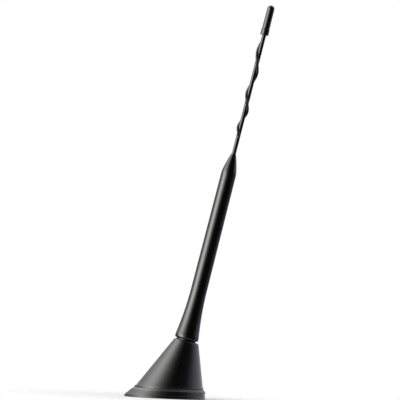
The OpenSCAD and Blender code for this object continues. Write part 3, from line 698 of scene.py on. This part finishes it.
def body_outline():
    """The rubber body's outline, from its underside up over the flare and the nose."""
    rim = [
        (FOOT_R + FOOT_ROUND * (math.sin(t) - 1), FOOT_ROUND * (1 - math.cos(t)))
        for t in spaced(0, math.pi / 2, 8)
    ]
    flare = [
        (BODY_LOW_R + (FOOT_R - BODY_LOW_R) * (1 - share) ** 2, FOOT_RING_H + FLARE_LEN * share)
        for share in spaced(0, 1, 40)
    ]
    shank = [
        (BODY_LOW_R + (BODY_TOP_R - BODY_LOW_R) * share,
         FOOT_RING_H + FLARE_LEN + (nose_h - SHOULDER_LEN - FOOT_RING_H - FLARE_LEN) * share)
        for share in spaced(0, 1, 48)[1:]
    ]
    nose_r = BODY_TOP_R - NOSE_SWELL / 2
    nose = [
        (nose_r + (NOSE_END_R - nose_r) * share + 4 * NOSE_SWELL * share * (1 - share),
         nose_h + NOSE_LEN * share)
        for share in spaced(0, 1, 16)
    ]
    return rim + flare + shank + nose


def core_outline():
    """The stepped space in the body that its core fills, from the top down."""
    steps = (
        (ROD_R, BODY_LEN, sleeve_low_h - BOND_GAP),
        (WHIP_R, sleeve_low_h - BOND_GAP, rod_neck_top_h + BOND_GAP),
        (ROD_NECK_R, rod_neck_top_h + BOND_GAP, rod_neck_h + BOND_GAP),
        (ROD_FERRULE_R, rod_neck_h + BOND_GAP, ROD_FERRULE_H - BOND_GAP),
        (coil_r + COIL_WIRE_R + DROP_GAP, ROD_FERRULE_H - BOND_GAP, FERRULE_LEN + BOND_GAP),
        (FERRULE_R, FERRULE_LEN + BOND_GAP, 0),
    )
    return [(radius + BOND_GAP, height) for radius, *heights in steps for height in heights]


def make_mast_body():
    cuts = []
    for turn in spaced(PIN_HOLE_TURN, PIN_HOLE_TURN + PIN_HOLE_STEP * (PIN_HOLES - 1), PIN_HOLES - 1):
        pin = turned([(0, 0), (PIN_HOLE_R, 0), (PIN_HOLE_R, BODY_LOW_R), (0, BODY_LOW_R)], 32)
        start = Matrix.Translation((ROD_FERRULE_R - PIN_HOLE_R, 0, PIN_HOLE_H))
        level = Matrix.Rotation(math.pi / 2, 4, "Y")
        cuts.append(moved(pin, Matrix.Rotation(math.radians(turn), 4, "Z") @ start @ level))
    notch = block((FOOT_R, NOTCH_W, 2 * FOOT_RING_H), (1.5 * FOOT_R - NOTCH_DEEP, 0, FOOT_RING_H / 2))
    cuts.append(moved(notch, Matrix.Rotation(math.radians(NOTCH_TURN), 4, "Z")))
    form = combined(turned(body_outline() + core_outline(), 128), cuts, "DIFFERENCE")
    put("mast_body_rubber", form, mast_place, [mast_rubber], "mast_body", sharp=30)


make_mast_body()


# Tip cap

def make_tip_cap():
    """The cap from its rounded skirt to its domed top, with the stepped bore for sleeve and rod."""
    edge = CAP_SKIRT_R - CAP_R
    dome_h = MAST_LEN - CAP_DOME_H
    bore_top_h = whip_top_h + BOND_GAP
    sleeve_end_h = sleeve_top_h + BOND_GAP
    outline = rounded([
        (0, bore_top_h), (WHIP_R + BOND_GAP, bore_top_h, HAIR_ROUND), (WHIP_R + BOND_GAP, sleeve_end_h),
        (ROD_R + BOND_GAP, sleeve_end_h), (ROD_R + BOND_GAP, cap_h, HAIR_ROUND),
        (CAP_SKIRT_R - edge / 2, cap_h, PLAIN_ROUND),
        (CAP_SKIRT_R, cap_h + 2 * edge, WIDE_ROUND), (CAP_SKIRT_R, sleeve_top_h - edge, WIDE_ROUND),
        (CAP_R, sleeve_top_h + edge, SOFT_ROUND), (CAP_DOME_R, dome_h),
    ])
    dome = [
        (CAP_DOME_R * math.cos(t), dome_h + CAP_DOME_H * math.sin(t)) for t in spaced(0, math.pi / 2, 12)[1:]
    ]
    put("tip_cap_moulding", turned(outline + dome, 72), mast_place, [cap_plastic], "tip_cap")


make_tip_cap()


# Rod sleeve

def make_sleeve():
    form = grown(ridge_tree, {
        "Columns": 60, "Rows": 420, "Bottom": float(sleeve_low_h), "Top": sleeve_top_h, "Rod radius": ROD_R,
        "Bore radius": WHIP_R + BOND_GAP, "Ridge height": RIDGE_H, "Ridge half angle": math.radians(RIDGE_HALF),
        "Pitch": RIDGE_PITCH, "Pitch growth": RIDGE_GAIN, "Measured at": RIDGE_MID_H, "Ridge low": RIDGE_LOW_H,
        "Ridge high": cap_h - RIDGE_STOP, "Fade": RIDGE_FADE, "Finish": sleeve_plastic,
    })
    put("rod_sleeve_moulding", form, mast_place, [sleeve_plastic], "rod_sleeve", sharp=50)


make_sleeve()


# Mast core: stud, former, coil, ferrule and rod

def make_mast_core():
    grooves = []
    for level in FERRULE_GROOVE_LEVELS:
        low_r = FERRULE_R - FERRULE_GROOVE_DEEP
        grooves += [
            (FERRULE_R, level, HAIR_ROUND), (low_r, level, HAIR_ROUND), (low_r, level + FERRULE_GROOVE_W, HAIR_ROUND),
            (FERRULE_R, level + FERRULE_GROOVE_W, HAIR_ROUND),
        ]
    ferrule = turned(rounded([
        (0, 0), (FERRULE_R, 0, PLAIN_ROUND), *grooves,
        (FERRULE_R, FERRULE_LEN, PLAIN_ROUND), (spigot_r, FERRULE_LEN, SMALL_ROUND),
        (spigot_r, FERRULE_LEN + SPIGOT_LEN, SOFT_ROUND), (0, FERRULE_LEN + SPIGOT_LEN),
    ]))
    crest_r = THREAD_R - THREAD_GAP
    thread = threaded(-STUD_LEN, FERRULE_GROOVE_W, crest_r, THREAD_PITCH, THREAD_DEEP, THREAD_PITCH)
    form = combined(ferrule, [thread], "UNION")
    put("mast_stud_turned", form, mast_place, [turned_brass], "mast_stud")

    inner = FORMER_R - FORMER_WALL
    former = turned(rounded([
        (inner, FERRULE_LEN, HAIR_ROUND), (FORMER_R, FERRULE_LEN, HAIR_ROUND), (FORMER_R, ROD_FERRULE_H, HAIR_ROUND),
        (inner, ROD_FERRULE_H, HAIR_ROUND),
    ], closed=True), 64)
    put("coil_former_tube", former, mast_place, [natural_plastic], "coil_former")

    coil_h = ROD_FERRULE_H - FERRULE_LEN - 2 * COIL_END_GAP
    coil = wound(COIL_TURNS, coil_r, FERRULE_LEN + COIL_END_GAP, coil_h, COIL_WIRE_R, steps=48, sides=16)
    put("loading_coil_winding", coil, mast_place, [copper_wire], "loading_coil", sharp=60)

    bore = WHIP_R + BOND_GAP
    joint = turned(rounded([
        (0, ROD_FERRULE_H - SPIGOT_LEN), (spigot_r, ROD_FERRULE_H - SPIGOT_LEN, SOFT_ROUND),
        (spigot_r, ROD_FERRULE_H, SMALL_ROUND), (ROD_FERRULE_R, ROD_FERRULE_H, PLAIN_ROUND),
        (ROD_FERRULE_R, rod_neck_h, PLAIN_ROUND), (ROD_NECK_R, rod_neck_h, PLAIN_ROUND),
        (ROD_NECK_R, rod_neck_top_h, SOFT_ROUND), (bore, rod_neck_top_h, SMALL_ROUND),
        (bore, whip_low_h), (0, whip_low_h),
    ]))
    put("rod_ferrule_turned", joint, mast_place, [turned_brass], "rod_ferrule")

    rod = turned(rounded([
        (0, whip_low_h), (WHIP_R, whip_low_h, PLAIN_ROUND), (WHIP_R, whip_top_h, PLAIN_ROUND), (0, whip_top_h),
    ]), 48)
    put("whip_rod_drawn", rod, mast_place, [spring_steel], "whip_rod")


make_mast_core()


# Housing

def tangent_places(low_centre, low_r, top_centre, top_r, edge_r, sides):
    """Where planes touch both a level disc and the mast's tilted, rounded seat, all the way round.
    Each item is the point on the disc, the seat's outward direction and the angle where its rounding begins."""
    out = []
    for k in range(sides):
        flat = Vector((math.cos(math.tau * k / sides), math.sin(math.tau * k / sides), 0))
        low, high = -math.pi / 2, math.pi / 2
        for _ in range(40):
            lift = (low + high) / 2
            normal = flat * math.cos(lift) + Vector((0, 0, math.sin(lift)))
            across = normal - mast_axis * normal.dot(mast_axis)
            top_reach = (top_centre - low_centre).dot(normal) + top_r * across.length + edge_r
            low, high = (low, lift) if top_reach > low_r * math.cos(lift) else (lift, high)
        across.normalize()
        out.append((low_centre + flat * low_r, across, math.atan2(normal.dot(mast_axis), normal.dot(across))))
    return out


def seat_at(up, back):
    """A point in the plane of symmetry, from its height over the seat and its distance behind the axis."""
    return seat_point + mast_axis * up + Vector((mast_axis.z, 0, -mast_axis.x)) * back


def cavity_rows(grow):
    """Rings of the space in the housing, from its foot up to its ceiling, grown by this much all round."""
    foot = Vector((HOUSING_X, 0, GASKET_H))
    top = seat_at(-SEAT_WALL, 0)
    touched = tangent_places(foot, cavity_r + grow, top, cavity_top_r + grow, 0, HOUSING_SIDES)
    top_r = cavity_top_r + grow
    return [[p.lerp(top + u * top_r, share) for p, u, _ in touched] for share in spaced(0, 1, 8)]


def housing_shell():
    """The thin leaning cone with its foot bead, its rounded seat and the socket's hole."""
    foot = Vector((HOUSING_X, 0, GASKET_H))
    core = seat_at(-SEAT_ROUND, SEAT_SHIFT)
    touched = tangent_places(foot, HOUSING_R, core, SEAT_FLAT_R, SEAT_ROUND, HOUSING_SIDES)

    def on_round(u, turn):
        return core + u * SEAT_FLAT_R + (u * math.cos(turn) + mast_axis * math.sin(turn)) * SEAT_ROUND

    bead = rounded([
        (HOUSING_R + BEAD_OUT - 0.3, GASKET_H), (HOUSING_R + BEAD_OUT, GASKET_H, SMALL_ROUND),
        (HOUSING_R + BEAD_OUT / 2, GASKET_H + BEAD_H, SOFT_ROUND), (HOUSING_R - BEAD_OUT, GASKET_H + BEAD_H),
    ])[1:-1]
    rows = [
        circle(r, z, HOUSING_SIDES, HOUSING_X + BEAD_OUT * (z - GASKET_H) / BEAD_H) for r, z in bead
    ]
    tops = [on_round(u, t) for _, u, t in touched]
    for share in spaced(BEAD_H / seat_drop, 1, 14):
        rows.append([p.lerp(top, share) for (p, _, _), top in zip(touched, tops)])
    for share in spaced(0, 1, 8)[1:]:
        rows.append([on_round(u, t + (math.pi / 2 - t) * share) for _, u, t in touched])
    hole_r = SOCKET_R + DROP_GAP
    for radius, drop in ((hole_r + 2 * DROP_GAP, 0), (hole_r, 2 * DROP_GAP), (hole_r, SEAT_WALL)):
        rows.append([seat_at(-drop, 0) + u * radius for _, u, _ in touched])
    return skin(rows + cavity_rows(0)[::-1], closed=True)


def make_housing():
    """The shell with three screw bosses, each tied to the wall by a rib."""
    top = GASKET_H + BOSS_H
    hole_r = SCREW_R + THREAD_GAP
    rib_from = (hole_r + BOSS_R) / 2
    solids = []
    for x, y in screw_points:
        out = Matrix.Translation((x, y, 0)) @ Matrix.Rotation(math.atan2(y, x - HOUSING_X), 4, "Z")
        boss = turned(rounded([
            (0, screw_top_h), (hole_r, screw_top_h), (hole_r, GASKET_H), (BOSS_R, GASKET_H),
            (BOSS_R, top, SOFT_ROUND), (0, top),
        ]), 48)
        rib_h = BOSS_H - BOND_GAP
        rib = block((2 * BOSS_INSET, BOSS_RIB_T, rib_h), (rib_from + BOSS_INSET, 0, top - rib_h / 2))
        solids += [moved(boss, out), moved(rib, out)]
    rows = cavity_rows(HOUSING_WALL / 2)
    rows[0] = [low.lerp(high, -0.5) for low, high in zip(rows[0], rows[1])]
    low_middle, top_middle = (sum(row, Vector()) / HOUSING_SIDES for row in (rows[0], rows[-1]))
    limit = skin([[low_middle], *rows, [top_middle]])
    held = combined(combined(solids[0], solids[1:], "UNION"), [limit], "INTERSECT")
    form = combined(housing_shell(), [held], "UNION")
    put("base_housing_shell", form, base_place, [housing_plastic], "base_housing", sharp=30)


screw_points = [
    (HOUSING_X + boss_ring_r * math.cos(t), boss_ring_r * math.sin(t))
    for t in [math.pi + math.tau * i / SCREWS for i in range(SCREWS)]
]
make_housing()


# Gasket

def make_gasket():
    """The flared skirt with its lip, the web inside it and three sealing grooves below."""
    lip_r = HOUSING_R + GASKET_OUT
    lip_top_r = HOUSING_R + LIP_TOP_OUT
    wall_r = plate_r + DROP_GAP
    hole_r = FIXING_BOSS_R + DROP_GAP
    stations = [
        (0, lip_r, 0, HAIR_ROUND), (LIP_TOP_X, lip_top_r, LIP_H, SOFT_ROUND),
        (LIP_TOP_X, lip_top_r - LIP_STEP, LIP_H, SMALL_ROUND),
        (SHOULDER_X, HOUSING_R + SHOULDER_OUT, SHOULDER_H, WIDE_ROUND),
        (HOUSING_X, HOUSING_R + BEAD_OUT, GASKET_H, PLAIN_ROUND),
        (HOUSING_X, wall_r, GASKET_H, HAIR_ROUND), (HOUSING_X, wall_r, WEB_T, PLAIN_ROUND),
        (0, hole_r, WEB_T, HAIR_ROUND), (0, hole_r, 0, HAIR_ROUND),
    ]
    for i in range(GROOVES):
        inner = lip_r - RIB_INSET + RIB_STEP * i
        for radius, height in (
            (inner, 0), (inner, GROOVE_DEEP), (inner + GROOVE_W, GROOVE_DEEP), (inner + GROOVE_W, 0),
        ):
            stations.append((0, radius, height, SMALL_ROUND))
    rows = []
    for i, (x, *corner) in enumerate(stations):
        before = stations[i - 1][1:3]
        after = stations[(i + 1) % len(stations)][1:3]
        rows += [circle(r, z, HOUSING_SIDES, x) for r, z in rounded([before, corner, after])[1:-1]]
    passage_r = OUTLET_R + GROMMET_FLANGE + DROP_GAP
    passage = turned([(0, -1), (passage_r, -1), (passage_r, GASKET_H), (0, GASKET_H)], 64)
    passage = moved(passage, Matrix.Translation((OUTLET_X, 0, 0)))
    form = combined(skin(rows, closed=True), [passage], "DIFFERENCE")
    put("base_gasket_rubber", form, base_place, [gasket_rubber], "base_gasket", sharp=30)


make_gasket()


# Foot seal, socket and nut

def make_seal():
    inner = FLANGE_R + DROP_GAP
    form = turned(rounded([
        (inner, 0, SMALL_ROUND), (SEAL_R, 0, SMALL_ROUND),
        (SEAL_R, SEAL_T, SMALL_ROUND), (inner, SEAL_T, SMALL_ROUND),
    ], closed=True))
    put("foot_seal_ring", form, seat_place, [gasket_rubber], "foot_seal")


def make_socket():
    """The threaded socket, with its inner thread in step with the stud's."""
    neck_low = -SOCKET_PITCH - DROP_GAP
    neck_r = SOCKET_R - THREAD_GAP
    shank = threaded(-SOCKET_LEN, -SOCKET_PITCH, SOCKET_R, SOCKET_PITCH, SOCKET_THREAD_DEEP, SOCKET_PITCH, 64)
    flange = turned(rounded([
        (0, neck_low), (neck_r, neck_low), (neck_r, 0),
        (FLANGE_R, 0, SMALL_ROUND), (FLANGE_R, SEAL_T, SMALL_ROUND), (0, SEAL_T),
    ]))
    floor_h = SOCKET_FLOOR - SOCKET_LEN
    drill_r = THREAD_R - THREAD_DEEP
    mouth_r = THREAD_R + THREAD_GAP
    mouth_h = SEAL_T + THREAD_GAP
    drilled = turned([
        (0, floor_h), (drill_r, floor_h), (drill_r, SEAL_T - THREAD_DEEP), (mouth_r, mouth_h), (0, mouth_h),
    ], 48)
    low = -STUD_LEN - IN_STEP_TURNS * THREAD_PITCH
    tapped = threaded(low, 3 * SEAL_T, THREAD_R, THREAD_PITCH, THREAD_DEEP, THREAD_PITCH)
    tapped = moved(tapped, Matrix.Translation((0, 0, SEAL_T)))
    form = combined(combined(flange, [shank], "UNION"), [drilled, tapped], "DIFFERENCE")
    put("mast_socket_turned", form, seat_place, [turned_brass], "mast_socket")


def make_nut():
    """A six-sided nut with its corners turned off."""
    across = NUT_AF / math.sqrt(3)
    top = -SEAT_WALL - STRIP_T
    low = top - NUT_T
    corner = (across - NUT_AF / 2) / math.sqrt(3)
    hexagon = turned([(0, low), (across, low), (across, top), (0, top)], 6)
    turned_off = turned([
        (0, low), (NUT_AF / 2, low), (across, low + corner), (across, top - corner), (NUT_AF / 2, top), (0, top),
    ])
    hole_r = SOCKET_R + THREAD_GAP
    chamfer_r = hole_r + 2 * DROP_GAP
    hole = turned([
        (0, low - 1), (chamfer_r, low - 1), (chamfer_r, low), (hole_r, low + 2 * DROP_GAP),
        (hole_r, top - 2 * DROP_GAP), (chamfer_r, top), (chamfer_r, top + 1), (0, top + 1),
    ], 64)
    form = combined(combined(hexagon, [turned_off], "INTERSECT"), [hole], "DIFFERENCE")
    place = seat_place @ Matrix.Rotation(math.radians(30), 4, "Z")
    put("socket_nut_plated", form, place, [plated_steel], "socket_nut")


make_seal()
make_socket()
make_nut()


# Screws

def screw(low, head_r, head_h, recess_r, recess_deep, shank_r, length, pitch, head_down):
    """A rounded head with a six-sided recess, on a threaded shank. Its head's underside is at the height low."""
    head = turned(rounded([(0, 0), (head_r, 0, SMALL_ROUND), (head_r, head_h, SOFT_ROUND), (0, head_h)]), 48)
    floor_h = head_h - recess_deep
    recess = turned([(0, floor_h), (recess_r, floor_h), (recess_r, 2 * head_h), (0, 2 * head_h)], 6)
    shank = threaded(-length, head_h / 4, shank_r, pitch, 0.2 * shank_r, pitch, sides=32)
    form = combined(combined(head, [recess], "DIFFERENCE"), [shank], "UNION")
    flip = Matrix.Rotation(math.pi, 4, "X") if head_down else Matrix()
    return moved(form, Matrix.Translation((0, 0, low)) @ flip)


def make_screws():
    seat_h = WEB_T + DROP_GAP + SCREW_HEAD_H
    length = screw_top_h - DROP_GAP - seat_h
    long_screw = screw(
        seat_h, SCREW_HEAD_R, SCREW_HEAD_H, SCREW_RECESS_R, SCREW_RECESS_DEEP, SCREW_R, length, SCREW_PITCH, True
    )
    form = repeated(long_screw, [(x, y, 0) for x, y in screw_points])
    put("housing_screws_plated", form, base_place, [plated_steel], "housing_screws", sharp=25)
    short_screw = screw(
        board_top, BOARD_HEAD_R, BOARD_HEAD_H, BOARD_RECESS_R, BOARD_RECESS_DEEP,
        BOARD_SCREW_R, BOARD_SCREW_LEN, BOARD_SCREW_PITCH, False,
    )
    corners = [
        (BOARD_X + x, y, 0) for x in (-BOARD_SCREW_X, BOARD_SCREW_X) for y in (-BOARD_SCREW_Y, BOARD_SCREW_Y)
    ]
    form = repeated(short_screw, corners)
    put("board_screws_plated", form, base_place, [plated_steel], "board_screws", sharp=25)


make_screws()


# Plate, grommet, board, can and contact strip: the CAD's forms with broken edges

def make_plate():
    """The die-cast tray, with the car's M6 thread in its fixing boss."""
    thread = threaded(
        -FIXING_THREAD_PITCH, FIXING_DEEP - FIXING_THREAD_DEEP, FIXING_THREAD_R,
        FIXING_THREAD_PITCH, FIXING_THREAD_DEEP, FIXING_THREAD_PITCH, 64,
    )
    form = combined(edged(node_form("base_plate"), HAIR_ROUND), [thread], "DIFFERENCE")
    bmesh.ops.remove_doubles(form, verts=form.verts, dist=WELD)
    put("base_plate_cast", form, base_place, [cast_zinc], "base_plate", sharp=25)


make_plate()
for node, material, width in (
    ("lead_grommet", gasket_rubber, SMALL_ROUND), ("amplifier_board", board_lacquer, HAIR_ROUND),
    ("screening_can", tinned_sheet, HAIR_ROUND), ("contact_strip", turned_brass, HAIR_ROUND),
):
    put(node + "_edged", edged(node_form(node), width), base_place, [material], node, sharp=25)


# Chokes and capacitors

def make_board_parts():
    waist_r = CHOKE_R - CHOKE_WAIST
    wire_h = CHOKE_H - 2 * CHOKE_DISC - 2 * CHOKE_WIRE_R
    drum = turned(rounded([
        (0, 0), (CHOKE_R, 0, SMALL_ROUND), (CHOKE_R, CHOKE_DISC, HAIR_ROUND), (waist_r, CHOKE_DISC),
        (waist_r, CHOKE_H - CHOKE_DISC), (CHOKE_R, CHOKE_H - CHOKE_DISC, HAIR_ROUND),
        (CHOKE_R, CHOKE_H, SMALL_ROUND), (0, CHOKE_H),
    ]), 48)
    turns = wire_h / (2.1 * CHOKE_WIRE_R)
    winding = wound(turns, waist_r + CHOKE_WIRE_R, CHOKE_DISC + CHOKE_WIRE_R, wire_h, CHOKE_WIRE_R)
    for face in winding.faces:
        face.material_index = 1
    points = [(BOARD_X + CHOKE_BACK, side * PART_SIDE, board_top) for side in (-1, 1)]
    form = repeated(joined([drum, winding]), points)
    put("filter_coils_wound", form, base_place, [drum_ferrite, copper_wire], "filter_coils")

    foot = block((2 * CAPACITOR_R, 2 * CAPACITOR_R, CAPACITOR_FOOT_H), (0, 0, CAPACITOR_FOOT_H / 2))
    foot = edged(foot, HAIR_ROUND)
    for face in foot.faces:
        face.material_index = 1
    crimp_h = 1.5 * CAPACITOR_FOOT_H
    can = turned(rounded([
        (0, CAPACITOR_FOOT_H), (CAPACITOR_R, CAPACITOR_FOOT_H, HAIR_ROUND), (CAPACITOR_R, crimp_h, SMALL_ROUND),
        (CAPACITOR_R - 0.2, crimp_h + 0.2, SMALL_ROUND), (CAPACITOR_R, crimp_h + 0.4, SMALL_ROUND),
        (CAPACITOR_R, CAPACITOR_H, PLAIN_ROUND), (0, CAPACITOR_H),
    ]), 48)
    points = [(BOARD_X + CAPACITOR_BACK, side * PART_SIDE, board_top) for side in (-1, 1)]
    form = repeated(joined([can, foot]), points)
    put("board_capacitors_drawn", form, base_place, [drawn_aluminium, drum_ferrite], "board_capacitors")


make_board_parts()


# Camera: at the photograph's angle, from the left side and far off
PIXEL_MM = 0.7
FRAME_PIXELS = 400
ORIGIN_PIXEL = Vector((164.3, 397.5))
ROLL = math.radians(2.7)
RISE = math.radians(0.6)
CAMERA_AWAY = 8.0


def make_camera():
    """A long lens far off, so that upright lines stay parallel. Returns the point it looks at."""
    right = Vector((math.cos(ROLL), 0, math.sin(ROLL)))
    up = Vector((-math.sin(ROLL), 0, math.cos(ROLL)))
    half = FRAME_PIXELS / 2
    target = (right * (half - ORIGIN_PIXEL.x) + up * (ORIGIN_PIXEL.y - half)) * PIXEL_MM * MM
    towards = Vector((0, -math.cos(RISE), math.sin(RISE)))
    side = (right - towards * right.dot(towards)).normalized()
    turn = Matrix((side, towards.cross(side), towards)).transposed().to_4x4()
    camera = bpy.data.objects.new("camera", bpy.data.cameras.new("camera"))
    camera.matrix_world = Matrix.Translation(target + towards * CAMERA_AWAY) @ turn
    camera.data.sensor_width = 36
    camera.data.lens = 36 * CAMERA_AWAY / (FRAME_PIXELS * PIXEL_MM * MM)
    camera.data.clip_end = 100
    bpy.context.scene.collection.objects.link(camera)
    bpy.context.scene.camera = camera
    return target


target = make_camera()
bpy.context.scene.view_settings.view_transform = "Standard"

# Light. A direction is an azimuth, counted from the camera towards the antenna's rear, and an elevation
KEY_FROM = (-50, 60)
KEY_AWAY = 1.4
KEY_SIDE = 1.2
KEY_LEVEL = 1.75
ROOM_LEVEL = 0.68
ROOM_TINT = "#eeecff"
STRIP_TINT = "#fffffb"
STRIP_FROM = (-61, 5)
STRIP_TO = (-98, 50)
STRIP_LOW_SPREAD = 0.25
STRIP_TOP_SPREAD = 0.3
STRIP_LEVEL = 11.9
STRIP_TOP_SHARE = 0.44


def heading(azimuth, elevation):
    """A unit vector for a direction."""
    a, e = math.radians(azimuth), math.radians(elevation)
    return Vector((math.sin(a) * math.cos(e), -math.cos(a) * math.cos(e), math.sin(e)))


def make_key_light():
    """A large soft lamp high on the left. It lights floor and colours; gloss finds the room's strip instead."""
    lamp = bpy.data.lights.new("key_light", "AREA")
    lamp.size = KEY_SIDE
    lamp.energy = KEY_LEVEL * math.pi * KEY_SIDE * KEY_SIDE
    made = bpy.data.objects.new("key_light", lamp)
    made.location = target + heading(*KEY_FROM) * KEY_AWAY
    made.rotation_euler = heading(*KEY_FROM).to_track_quat("Z", "Y").to_euler()
    made.visible_camera = False
    made.visible_glossy = False
    bpy.context.scene.collection.objects.link(made)


def make_studio():
    """White behind the antenna. Gloss finds that white, a leaning strip light on the left and a dark front."""
    world = bpy.data.worlds.new("studio")
    bpy.context.scene.world = world
    world.use_nodes = True
    tree = world.node_tree
    tree.nodes.clear()
    calc = sums(tree)
    rays = add(tree, "ShaderNodeLightPath").outputs
    way = add(tree, "ShaderNodeTexCoord").outputs["Generated"]
    parts = add(tree, "ShaderNodeSeparateXYZ", {0: way}).outputs

    def ramp(value, low, high, low_level=0.0, high_level=1.0):
        return add(tree, "ShaderNodeMapRange", {
            "Value": value, "From Min": low, "From Max": high, "To Min": low_level, "To Max": high_level,
        }, interpolation_type="SMOOTHSTEP").outputs[0]

    across = heading(*STRIP_FROM).cross(heading(*STRIP_TO)).normalized()
    off = add(tree, "ShaderNodeVectorMath", {0: way, 1: across}, operation="DOT_PRODUCT").outputs["Value"]
    far = calc("DIVIDE", off, ramp(parts["Z"], 0.1, 0.5, STRIP_LOW_SPREAD, STRIP_TOP_SPREAD))
    bell = calc("EXPONENT", calc("MULTIPLY", calc("MULTIPLY", far, far), -0.5))
    tall = calc("MULTIPLY", ramp(parts["Z"], 0.15, 0.55, STRIP_LEVEL, STRIP_TOP_SHARE * STRIP_LEVEL),
                ramp(parts["Z"], 0.98, 0.8))
    tall = calc("MULTIPLY", tall, ramp(parts["Z"], -0.2, 0.0, 0.1, 1.0))
    strip = calc("MULTIPLY", calc("MULTIPLY", bell, tall), ramp(parts["X"], 0.0, -0.25))
    behind = calc("MULTIPLY", ramp(parts["Y"], -0.5, 0.26), ramp(parts["Z"], -0.15, 0.05, 0.3, 1.0))
    behind = calc("MULTIPLY", behind, ramp(parts["X"], -0.3, 0.4, 0.38, 1.15))
    in_gloss = calc("MAXIMUM", rays["Is Glossy Ray"], rays["Is Transmission Ray"])

    def glow(colour, strength):
        return add(tree, "ShaderNodeBackground", {"Color": tone(colour), "Strength": strength}).outputs[0]

    strip_light = glow(STRIP_TINT, strip)
    lit = add(tree, "ShaderNodeAddShader", {0: strip_light, 1: glow(ROOM_TINT, behind)}).outputs[0]
    room = add(tree, "ShaderNodeMixShader", {0: in_gloss, 1: glow("#ffffff", ROOM_LEVEL), 2: lit}).outputs[0]
    backdrop = glow("#ffffff", 1.0)
    seen = add(tree, "ShaderNodeMixShader", {0: rays["Is Camera Ray"], 1: room, 2: backdrop}).outputs[0]
    add(tree, "ShaderNodeOutputWorld", {"Surface": seen})


make_key_light()
make_studio()

# Floor, in metres
FLOOR_R = 0.16
FLOOR_BELOW = 0.0002
FLOOR_FADE_FROM = 0.045
FLOOR_FADE_TO = 0.14


def make_floor():
    """A pale floor that fades into the white room round the antenna."""
    material, tree = blank_material("pale_studio_floor")
    spot = add(tree, "ShaderNodeTexCoord").outputs["Object"]
    away = add(tree, "ShaderNodeVectorMath", {0: spot}, operation="LENGTH").outputs["Value"]
    fade = add(tree, "ShaderNodeMapRange", {
        "Value": away, "From Min": FLOOR_FADE_FROM, "From Max": FLOOR_FADE_TO,
    }, interpolation_type="SMOOTHSTEP").outputs[0]
    paint = add(tree, "ShaderNodeBsdfDiffuse", {"Color": tone("#fcfcfb")}).outputs[0]
    clear = add(tree, "ShaderNodeBsdfTransparent").outputs[0]
    mixed = add(tree, "ShaderNodeMixShader", {0: fade, 1: paint, 2: clear}).outputs[0]
    add(tree, "ShaderNodeOutputMaterial", {"Surface": mixed})
    disc = skin([circle(0, -FLOOR_BELOW, 96), circle(FLOOR_R, -FLOOR_BELOW, 96)])
    floor = as_object("studio_floor", disc, Matrix())
    floor.data.materials.append(material)


make_floor()
